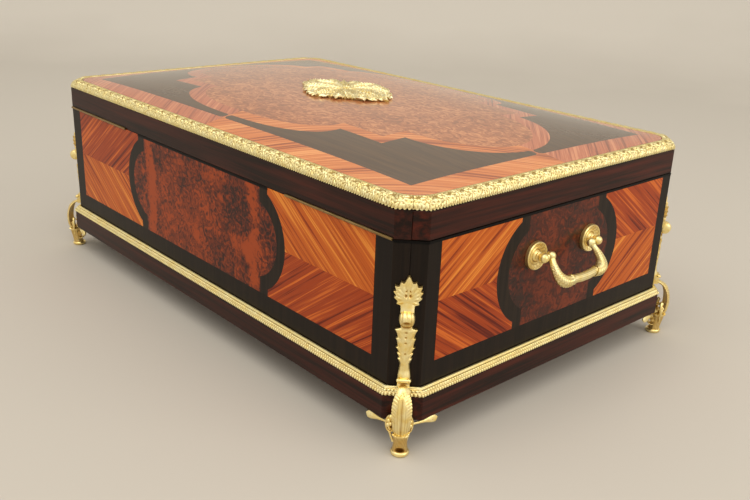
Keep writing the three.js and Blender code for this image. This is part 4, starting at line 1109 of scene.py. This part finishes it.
# spine of the bowed leaf as (out, up) from the foot's own corner, with its half widths
foot = dict(
    spine=[(2.0, 29.6), (5.6, 30.7), (9.6, 29.9), (13.4, 27.2), (16.6, 22.8), (18.8, 17.6), (20.0, 12.2), (20.3, 6.6),
           (20.0, 1.6), (19.2, -2.6), (17.8, -5.6)],
    half=[5.0, 5.0, 5.1, 5.6, 7.2, 8.1, 8.2, 7.8, 7.2, 6.7, 6.0], blade=3.2, lobes=21,
    padOut=11.2, padRadius=5.4, padRoll=2.2, padUp=-28.0, rimUp=-6.4, dishUp=-25.4)
# heel: a scroll that curls back under the plinth, seen from the side
heel = dict(
    spine=[(0, 18.0, -5.2), (0, 14.5, -3.6), (0, 9.4, -4.6), (0, 5.0, -8.0), (0, 3.2, -12.8), (0, 4.8, -17.2),
           (0, 8.8, -18.8), (0, 12.0, -16.6), (0, 12.2, -13.2), (0, 9.4, -11.6), (0, 7.4, -13.4)],
    half=[4.0, 4.4, 4.7, 4.9, 5.0, 5.0, 4.8, 4.5, 4.2, 3.8, 3.0])
# berried scroll beside the leaf: berries as (across, out, up, radius), a leaf, and a thin strut down to the toe
sideScroll = dict(
    berries=[(8.6, 13.8, 6.6, 2.5), (10.5, 13.6, 3.2, 2.3), (11.0, 13.8, -0.4, 2.1), (9.0, 15.6, 1.4, 1.7)],
    leaf=[(7.0, 13.6, 8.4), (9.8, 13.2, 6.2), (11.4, 13.0, 2.4), (11.5, 13.2, -1.8), (9.9, 13.8, -5.0),
          (7.8, 14.4, -4.4), (7.4, 14.6, -2.2)],
    strut=[(10.4, 13.6, -4.4), (9.4, 13.8, -7.6), (7.9, 14.4, -11.4), (6.4, 14.6, -15.0)],
    reachRight=0.92, reachLeft=0.66)
# arm under the plinth: a flat ribbon that ends in a rounded tab with a stud
sideArm = dict(
    spine=[(4.0, 8.2, -4.6), (8.5, 5.4, -3.7), (14.2, 2.6, -3.3), (18.6, 0.2, -3.1), (22.2, -2.8, -3.4),
           (24.8, -5.1, -3.7), (27.0, -7.3, -3.9), (28.4, -8.9, -3.9)],
    half=[1.5, 1.2, 1.2, 1.5, 2.5, 3.1, 2.9, 0.7])


def makeFoot(corner):
    s = foot
    bm = newShape()
    spine = [Vector(p) for p in s["spine"]]

    # the bowed leaf: a long ribbed spearhead between scalloped edges that turn back towards the case
    def leaf(u, v):
        ahead = aheadAt(spine, u)
        leafy = smoothstep(0.24, 0.38, u)
        scallop = 1 - sin(pi * ((u * s["lobes"]) % 1.0)) ** 0.6
        wide = along(s["half"], u) * (1 - leafy * 0.075 * (1 - smoothstep(0.62, 0.8, u)) * scallop)
        t, q = cos(2 * pi * v), sin(2 * pi * v)
        spread = 0.02 + 0.54 * smoothstep(0.2, 0.5, u) + 0.34 * smoothstep(0.55, 0.8, u)
        spear = 1 - smoothstep(spread - 0.14, spread + 0.06, abs(t))
        out = s["blade"] * (0.5 - 0.75 * t * t) * (0.55 + 0.45 * leafy)
        # painted shade in the middle groove, between the flutes and the veins, and all over the underside
        if q >= 0:
            fade = 1 - abs(t) ** 6
            flute = wave(t * pi * 7.5)
            vein = wave(2 * pi * (u * s["lobes"] - 1.1 * (1 - abs(t)) - 0.5))
            middle = hump(t, 0, 0.05) * smoothstep(0.3, 0.44, u)
            out += 0.35 * abs(q) ** 0.5 + leafy * fade * spear * (0.7 + 0.28 * flute) - 0.75 * middle
            out += leafy * fade * (1 - spear) * 0.34 * vein
            low = max(0.75 * middle, leafy * spear * 0.35 * (1 - smoothstep(0.0, 0.4, flute)),
                      leafy * (1 - spear) * 0.35 * (1 - smoothstep(0.0, 0.4, vein)) * fade)
        else:
            out -= 2.1 * abs(q) ** 0.6
            low = 0.5
        point = along(spine, u) + Vector((-ahead.y, ahead.x)) * out
        return Vector((t * wide, point.x, point.y + leafy * 1.2 * t * t)), low

    bentTube(bm, 150, 100, leaf)
    # lug that holds the leaf over the lower moulding
    addStrip(bm, 27.9, 31.4, 12, 24, lambda z: 5.2, lambda z, t: (8.0 - 0.5 * t * t, 0, 0))

    # toe: a frosted block with a bright wavy rim, hollowed in front where it stands in its dished pad
    def toe(u, v):
        z = s["rimUp"] + 0.4 - (s["rimUp"] - s["dishUp"]) * u
        a = 2 * pi * v
        c, q = cos(a), sin(a)
        rim = hump(u, 0.07, 0.06)
        frill = wave(11 * a + pi)
        crown = 0.72 + 0.28 * smoothstep(0.0, 0.05, u)
        across = (5.9 + 0.5 * smoothstep(0.5, 1.0, u) - 0.4 * sin(pi * u) + rim * (0.6 + 0.7 * frill)) * crown
        deep = (5.2 - 0.9 * u + rim * (0.7 + 0.8 * frill)) * crown
        pit = hump(c, 0, 0.4) * smoothstep(0.66, 0.86, u) * smoothstep(0.3, 0.8, q)
        grain = cos(9 * a + 40 * u) * cos(7 * a - 63 * u)
        across += 0.12 * grain
        deep += 0.14 * grain - 3.4 * pit
        x, y = across * copysign(abs(c) ** 0.62, c), 15.3 - 3.4 * u + deep * copysign(abs(q) ** 0.62, q)
        # painted shade in the pit; the frosted block below the rim is made rougher and browned half way with the same
        # painted shade
        frost = 0.5 * smoothstep(0.12, 0.17, u) + 0.25 * max(0.0, -grain) * smoothstep(0.14, 0.26, u)
        return Vector((x, y, z + rim * 0.9 * frill)), min(1.0, max(1.2 * pit, frost))

    bentTube(bm, 60, 96, toe)
    # painted shade inside the roll of the pad and in its dish
    ring = [(0, s["padUp"], 0)]
    for i in range(11):
        a = radians(-90 + 21 * i)
        ring.append((s["padRadius"] + s["padRoll"] * cos(a), s["padUp"] + s["padRoll"] * (1 + sin(a)),
                     0.9 * smoothstep(7, 10, i)))
    ring += [(3.6, s["dishUp"], 1), (0, s["dishUp"] - 0.2, 1)]
    moveBy(bm, turned(bm, ring, 48), moveTo(0, s["padOut"], 0))
    addLeaf(bm, heel["spine"], heel["half"], 1.9, (0, 0.5, -0.9), rib=-0.3, rows=60)
    addRoll(bm, 8.4, -14.2, 1.9, 10.6, 3)
    for sign, reach in ((-1, sideScroll["reachLeft"]), (1, sideScroll["reachRight"])):
        def beside(points, share):
            return [(sign * share * x, y, z) for x, y, z in points]

        for *at, size in sideScroll["berries"]:
            addBall(bm, size * (0.6 + 0.4 * reach), beside([at], reach)[0])
        addLeaf(bm, beside(sideScroll["leaf"], reach), [1.0, 2.0, 2.3, 2.1, 1.8, 1.5, 0.9], 2.6,
                (sign * 0.5, 1, 0.2), rib=-0.3, rows=40)
        # painted shade: the berry tucked behind the leaf is dark all over
        addBall(bm, 1.7, (sign * reach * 9.1, 12.6, -1.9), low=1)
        addLeaf(bm, beside(sideScroll["strut"], reach), [1.3, 0.9, 0.9, 1.0], 1.5,
                (sign * 0.3, 1, 0), rib=0, rows=24, around=14)
        addLeaf(bm, beside(sideArm["spine"], 1), sideArm["half"], 1.7,
                (sign * 0.55, 0.75, 0.35), rib=0, rows=50, around=24)
        # the stud takes a little painted shade
        addBall(bm, 1.1, (sign * 24.8, -4.4, -3.6), low=0.2)
    finishCasting(bm, "cornerFoot_" + corner, "case", giltBronze, "corner_foot_" + corner, cornerMatrix(corner))


for corner in cornerTurns:
    makeMount(corner)
    makeFoot(corner)

print("stage: bail handles")
# one half of the bail as shares of its span and drop, from the post to its middle, with its radii in millimetres
handle = dict(
    spacing=77, postZ=138.3, standoff=10.4, halfSpan=28.6, drop=24.5, rest=38, roseRadius=12.7, ballRadius=4.35,
    across=[1.0, 1.03, 1.07, 1.09, 1.08, 1.03, 0.93, 0.79, 0.67, 0.6, 0.56, 0.4, 0.2, 0.0],
    down=[0.0, 0.16, 0.34, 0.53, 0.71, 0.87, 0.98, 1.03, 1.03, 1.02, 1.015, 1.03, 1.05, 1.055],
    thick=[3.0, 2.7, 2.9, 3.5, 4.2, 4.9, 5.2, 4.9, 4.5, 4.4, 3.6, 3.75, 3.85, 3.85],
    # knob and post list (radius, height, painted shade)
    knob=[(0, -4.2, 0), (1.9, -3.9, 0), (3.3, -2.6, 0), (4.1, -0.6, 0), (4.15, 0.6, 0), (3.5, 2.3, 0),
          (2.4, 3.3, 0.5), (1.9, 3.7, 0.8), (2.2, 4.2, 0), (1.5, 4.9, 0), (1.4, 9.4, 0), (0, 9.4, 0)],
    post=[(0, -21, 0), (2.3, -21, 0), (2.3, 4.2, 0), (3.9, 4.8, 0), (4.1, 5.4, 0), (3.4, 6.0, 0.4),
          (2.6, 6.5, 0.7), (2.7, 7.0, 0.2)],
    roseRings=[(0.0, 4.4), (0.30, 4.4), (0.36, 3.2), (0.43, 2.2), (0.50, 2.9), (0.56, 3.1), (0.61, 2.1),
               (0.68, 1.8), (0.78, 2.4), (0.86, 3.3), (0.92, 4.1), (0.96, 4.2), (1.0, 3.4)])


def makeBail(side):
    s = handle
    bm = newShape()
    half = [Vector((a * s["halfSpan"], 0, -d * s["drop"])) for a, d in zip(s["across"], s["down"])]
    spine = half + [Vector((-p.x, p.y, p.z)) for p in reversed(half[:-1])]
    thick = s["thick"] + s["thick"][-2::-1]

    # reeded grip between leafy corners; the leaves lap over one another towards the grip
    def grip(u, v):
        ahead = aheadAt(spine, u, 0.004)
        t = 1 - abs(2 * u - 1)
        a = 2 * pi * v
        leafy = smoothstep(0.1, 0.2, t) * (1 - smoothstep(0.70, 0.72, t))
        plain = smoothstep(0.74, 0.76, t)
        lap = wave(2 * pi * (t * 26 + 0.55 * cos(5 * a)))
        rib = wave(5 * a + 1.2)
        reed = wave(14 * a)
        radius = along(thick, u) + leafy * (0.42 * lap + 0.3 * rib - 0.3)
        radius += 0.7 * hump(t, 0.705, 0.012) + plain * 0.16 * (reed - 0.5)
        # painted shade between the lapped leaves and the ribs, between the reeds and in the groove by the plain grip
        low = max(leafy * 0.6 * (1 - smoothstep(0.0, 0.35, lap)), leafy * 0.35 * (1 - smoothstep(0.0, 0.4, rib)),
                  plain * 0.45 * (1 - reed), 0.8 * hump(t, 0.73, 0.01))
        return along(spine, u) + Vector((-ahead.z, 0, ahead.x)) * radius * cos(a) + Vector((0, radius * sin(a), 0)), low

    bentTube(bm, 260, 56, grip)
    for sign in (-1, 1):
        moveBy(bm, turned(bm, s["knob"], 28), moveTo(sign * s["halfSpan"], 0, 0) @ turnTo(sign * 90, "Y"))
    place = moveTo(0, sideHalves[side][1] + s["standoff"], s["postZ"]) @ turnTo(s["rest"], "X")
    place = turnTo(sideTurns[side], "Z") @ place
    finishCasting(bm, "bail_" + side, side + "_bail", giltBronzePale, "bail_" + side, place)


# dished rose: rolled rim, beads, a ring of small petals, a raised ring and a hollow round the post
def roseRise(angle, share):
    rings = handle["roseRings"]
    (a, b), (c, d) = next(pair for pair in zip(rings, rings[1:]) if share <= pair[1][0])
    out = b + (d - b) * smoothstep(0, 1, (share - a) / (c - a))
    petals = wave(16 * angle)
    band = smoothstep(0.62, 0.68, share) * (1 - smoothstep(0.84, 0.88, share))
    beads = hump(share, 0.93, 0.03) * wave(48 * angle)
    # painted shade between the petals, in the grooves of the rings and at the foot of the beads
    low = max(band * 0.4 * (1 - petals), 0.9 * hump(share, 0.43, 0.03), 0.8 * hump(share, 0.63, 0.02),
              0.7 * hump(share, 0.885, 0.015) * petals)
    return out + band * 0.3 * petals + 0.25 * beads - 0.3, min(1.0, low)


def makePost(side, end):
    s = handle
    sign = 1 if (side == "left") == (end == "back") else -1
    place = moveTo(sign * s["spacing"] / 2, sideHalves[side][1], s["postZ"])
    place = turnTo(sideTurns[side], "Z") @ place
    bm = newShape()
    addFan(bm, (0, 0.3, 0), lambda a: s["roseRadius"], roseRise, 0, 64, 144)
    finishCasting(bm, "rosette_%s_%s" % (side, end), "case", giltBronze, "rosette_%s_%s" % (side, end), place)
    bm = newShape()
    profile = list(s["post"])
    for i in range(1, 11):
        a = pi * (0.24 + 0.76 * i / 11)
        profile.append((s["ballRadius"] * sin(a), s["standoff"] - s["ballRadius"] * cos(a), 0))
    turned(bm, profile + [(0, s["standoff"] + s["ballRadius"], 0)], 32)
    name, node = "bailPost_%s_%s" % (side, end), "bail_post_%s_%s" % (side, end)
    finishCasting(bm, name, "case", giltBronze, node, place @ turnTo(-90, "X"), angle=40)


for side in ("left", "right"):
    makeBail(side)
    for end in ("back", "front"):
        makePost(side, end)

print("stage: lid plaque")
plaque = dict(halfX=71, halfY=50.5, flatten=0.82, tips=44, chasing=0.45)
acanthus = dict(blade=2.8, lead=1.8, veins=0.3, curl=0.9)
filler = dict(half=[1.4, 2.6, 2.8, 0.4], blade=2.4, lead=1.5, veins=0.3, curl=0.8, around=16)
scroll = dict(half=[1.6, 2.0, 2.3, 2.3, 2.1, 1.8, 1.2], blade=2.2, rib=-0.35, around=16)
outerLeaf = dict(half=[1.2, 2.6, 2.4, 0.3], blade=1.9, teeth=4, cut=0.35, lead=1.6, curl=0.5, rows=30, around=16)
# leaves of one quarter: a long acanthus leaf to the end, one to the side and one between, all springing from
# the middle, then smaller leaves that fill the gaps, C-scrolls between them and outer leaves
plaqueLeaves = [
    ([(6, 3, 2.6), (17, 6.5, 3.8), (29, 8.6, 4.4), (41, 6.8, 4.0), (51, 3.6, 3.4), (60, 2.4, 2.4)],
     dict(acanthus, half=[2.0, 3.2, 4.1, 3.9, 3.0, 0.4], teeth=13, rows=90)),
    ([(3, 6, 2.6), (7, 15, 3.8), (8.5, 24, 4.4), (6.5, 32, 4.0), (3.5, 38, 3.4), (2.4, 42, 2.6)],
     dict(acanthus, half=[1.8, 3.0, 3.9, 3.8, 2.9, 0.4], teeth=12, rows=84)),
    ([(8, 6, 2.4), (16, 12, 3.6), (24, 17, 4.2), (31, 22, 4.0), (37, 27, 3.0)],
     dict(acanthus, half=[1.8, 3.2, 3.8, 3.2, 0.4], teeth=11, lead=1.6, rows=76)),
    ([(10, 5, 2.4), (24, 11.5, 3.6), (36, 16.5, 4.0), (47, 17, 2.8)], dict(filler, teeth=9, rows=56)),
    ([(5, 9, 2.4), (12, 20, 3.6), (18, 30, 4.0), (20, 37, 2.8)], dict(filler, teeth=8, rows=50)),
    ([(12, 20, 2.0), (15, 28, 3.0), (20, 34, 3.6), (26, 35.5, 3.6), (29, 31, 3.4), (26, 27.5, 3.2),
      (22.5, 29.5, 3.4)], scroll),
    ([(24, 12, 2.0), (34, 15.5, 3.0), (43, 20.5, 3.6), (49, 19.5, 3.6), (49.5, 14.5, 3.4), (45, 13.5, 3.2),
      (43.5, 17, 3.4)], scroll),
    ([(38, 4, 1.6), (46, 11, 2.4), (54, 13, 2.6), (59, 9.5, 2.0)], outerLeaf),
    ([(4, 26, 1.6), (11, 34, 2.4), (13.5, 40, 2.6), (11, 45, 2.0)], outerLeaf)]
plaqueBeads = [(22.5, 30, 3.8, 2.0), (44, 17, 3.8, 2.0), (32, 17, 2.6, 1.4), (14, 22, 2.6, 1.4)]


# ragged edge of the matted bed that ties the leaves together
def bedEdge(a):
    x, y = abs(sin(a)) / plaque["halfX"], abs(cos(a)) / plaque["halfY"]
    r = 1 / (x ** 1.25 + y ** 1.25) ** (1 / 1.25)
    return r * (0.95 - 0.085 * abs(cos(17 * a)) ** 0.7 - 0.015 * cos(54 * a))


def bedRise(a, q):
    swell = wave(20 * a + 14 * q)
    # painted shade in the pits, between the swells and in the fine chasing
    pit = hump(cos(10 * a), 0, 0.25) * hump(q, 0.62, 0.12)
    fine = 0.5 + 0.5 * cos(44 * a + 9 * q) * cos(58 * q) * smoothstep(0, 0.12, q)
    out = 2.7 - 0.9 * smoothstep(0.75, 1, q) + 0.8 * swell * smoothstep(0.2, 0.5, q) + 0.9 * fine - pit
    return out, max(pit, 0.3 * (1 - swell) * q, 0.35 * (1 - fine))


# a ring of petals for the flower in the middle
def addPetals(bm, reach, petals, turn, height):
    def edge(a):
        return reach * (0.72 + 0.28 * abs(cos(petals * (a + turn) / 2)) ** 0.6)

    def rise(a, q):
        ridge = abs(cos(petals * (a + turn) / 2)) ** 0.5
        out = height * (0.55 + 0.45 * sin(pi * min(1.0, q * 0.9)))
        out = out * (1 - 0.3 * (1 - ridge) * smoothstep(0, 0.2, q)) + 0.8 * smoothstep(0.7, 1, q)
        # painted shade between the petals
        return out, 0.8 * (1 - smoothstep(0.1, 0.5, ridge)) * smoothstep(0.2, 0.5, q)

    verts = addFan(bm, (0, 0, 0), edge, rise, 0.2, 24, 144)
    moveBy(bm, verts, Matrix.Diagonal((1.25, 1.0, 1.0, 1.0)) @ turnTo(90, "X"))


def makePlaque():
    s = plaque
    bm = newShape()
    up = (0, 0, 1)
    for fx, fy in ((1, 1), (1, -1), (-1, 1), (-1, -1)):
        for points, more in plaqueLeaves:
            addLeaf(bm, [(fx * x, fy * y, z) for x, y, z in points], up=up, **more)
        for x, y, z, r in plaqueBeads:
            addBall(bm, r, (fx * x, fy * y, z))
    moveBy(bm, addFan(bm, (0, 0, 0), bedEdge, bedRise, 0.3, 52, 360, wall=0.6), turnTo(90, "X"))

    # leaf tips all round, standing a little clear of the lid
    for i in range(s["tips"]):
        a = 2 * pi * (i + 0.5) / s["tips"]
        reach = bedEdge(a) * (1.09 if i % 2 else 1.05)
        spine = [(share * reach * sin(a), share * reach * cos(a), z)
                 for share, z in ((0.8, 2.2), (0.88, 3.0), (0.95, 2.7), (1.0, 1.3))]
        addLeaf(bm, spine, [1.6, 2.5, 1.9, 0.3], 1.5, up, rib=0.4, rows=18, around=12)

    # flower in the middle: two rings of petals round a beaded eye
    addPetals(bm, 9.5, 12, 0, 4.2)
    addPetals(bm, 5.6, 8, pi / 8, 5.6)
    for i in range(8):
        addBall(bm, 1.1, (2.7 * cos(i * pi / 4), 2.7 * sin(i * pi / 4), 5.8))
    addBall(bm, 1.6, (0, 0, 6.3))

    # chased all over in bumps about four millimetres apart, with painted shade in their hollows, then laid on the domed
    # lid
    layer = bm.verts.layers.float["recess"]
    lowest = max(min(v.co.z for v in bm.verts), -0.2)
    for vert in bm.verts:
        x, y, z = vert.co
        chased = cos(1.5 * x + 0.9 * sin(0.7 * y)) * cos(1.6 * y + 0.9 * sin(0.6 * x))
        vert[layer] = min(1.0, vert[layer] + 0.5 * max(0.0, -chased))
        vert.co.z = max(s["flatten"] * (z - lowest) + s["chasing"] * chased + 0.3, 0.15) + domeHeight(x, y)
    finishPiece(bm, "lidPlaque", "lid", [giltBronzeMattLit], ["lid_plaque"], angle=50)


makePlaque()

print("stage: materials of the packed nodes")
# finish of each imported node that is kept, by the start of its name; the rails take theirs by their side
nodeFinishes = dict(
    case_wall=ebonySides, bottom_board=barePine, base_lining=redVelvet, lid_lining=redVelvet, hinge_=drawnBrass,
    lock_=filedSteel, link_=filedSteel, post_nut=filedSteel)
softened = dict(plinth_rail=0.8, lid_rail=0.6, case_wall=0.5)


def dressNode(nodeName, obj):
    finish = next((mat for start, mat in nodeFinishes.items() if nodeName.startswith(start)), giltBronze)
    if "_rail_" in nodeName:
        finish = rosewoodLong if nodeName.endswith(("back", "front")) else rosewoodShort
    obj.data.materials.clear()
    obj.data.materials.append(finish)
    for start, width in softened.items():
        if nodeName.startswith(start):
            weld = obj.modifiers.new("weld", "WELD")
            weld.merge_threshold = 0.01 * mm
            bevel = obj.modifiers.new("softEdge", "BEVEL")
            bevel.width = width * mm
            bevel.segments = 2
            bevel.limit_method = "ANGLE"
            bevel.angle_limit = radians(35)


for nodeName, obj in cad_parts.items():
    dressNode(nodeName, obj)

print("stage: finish")
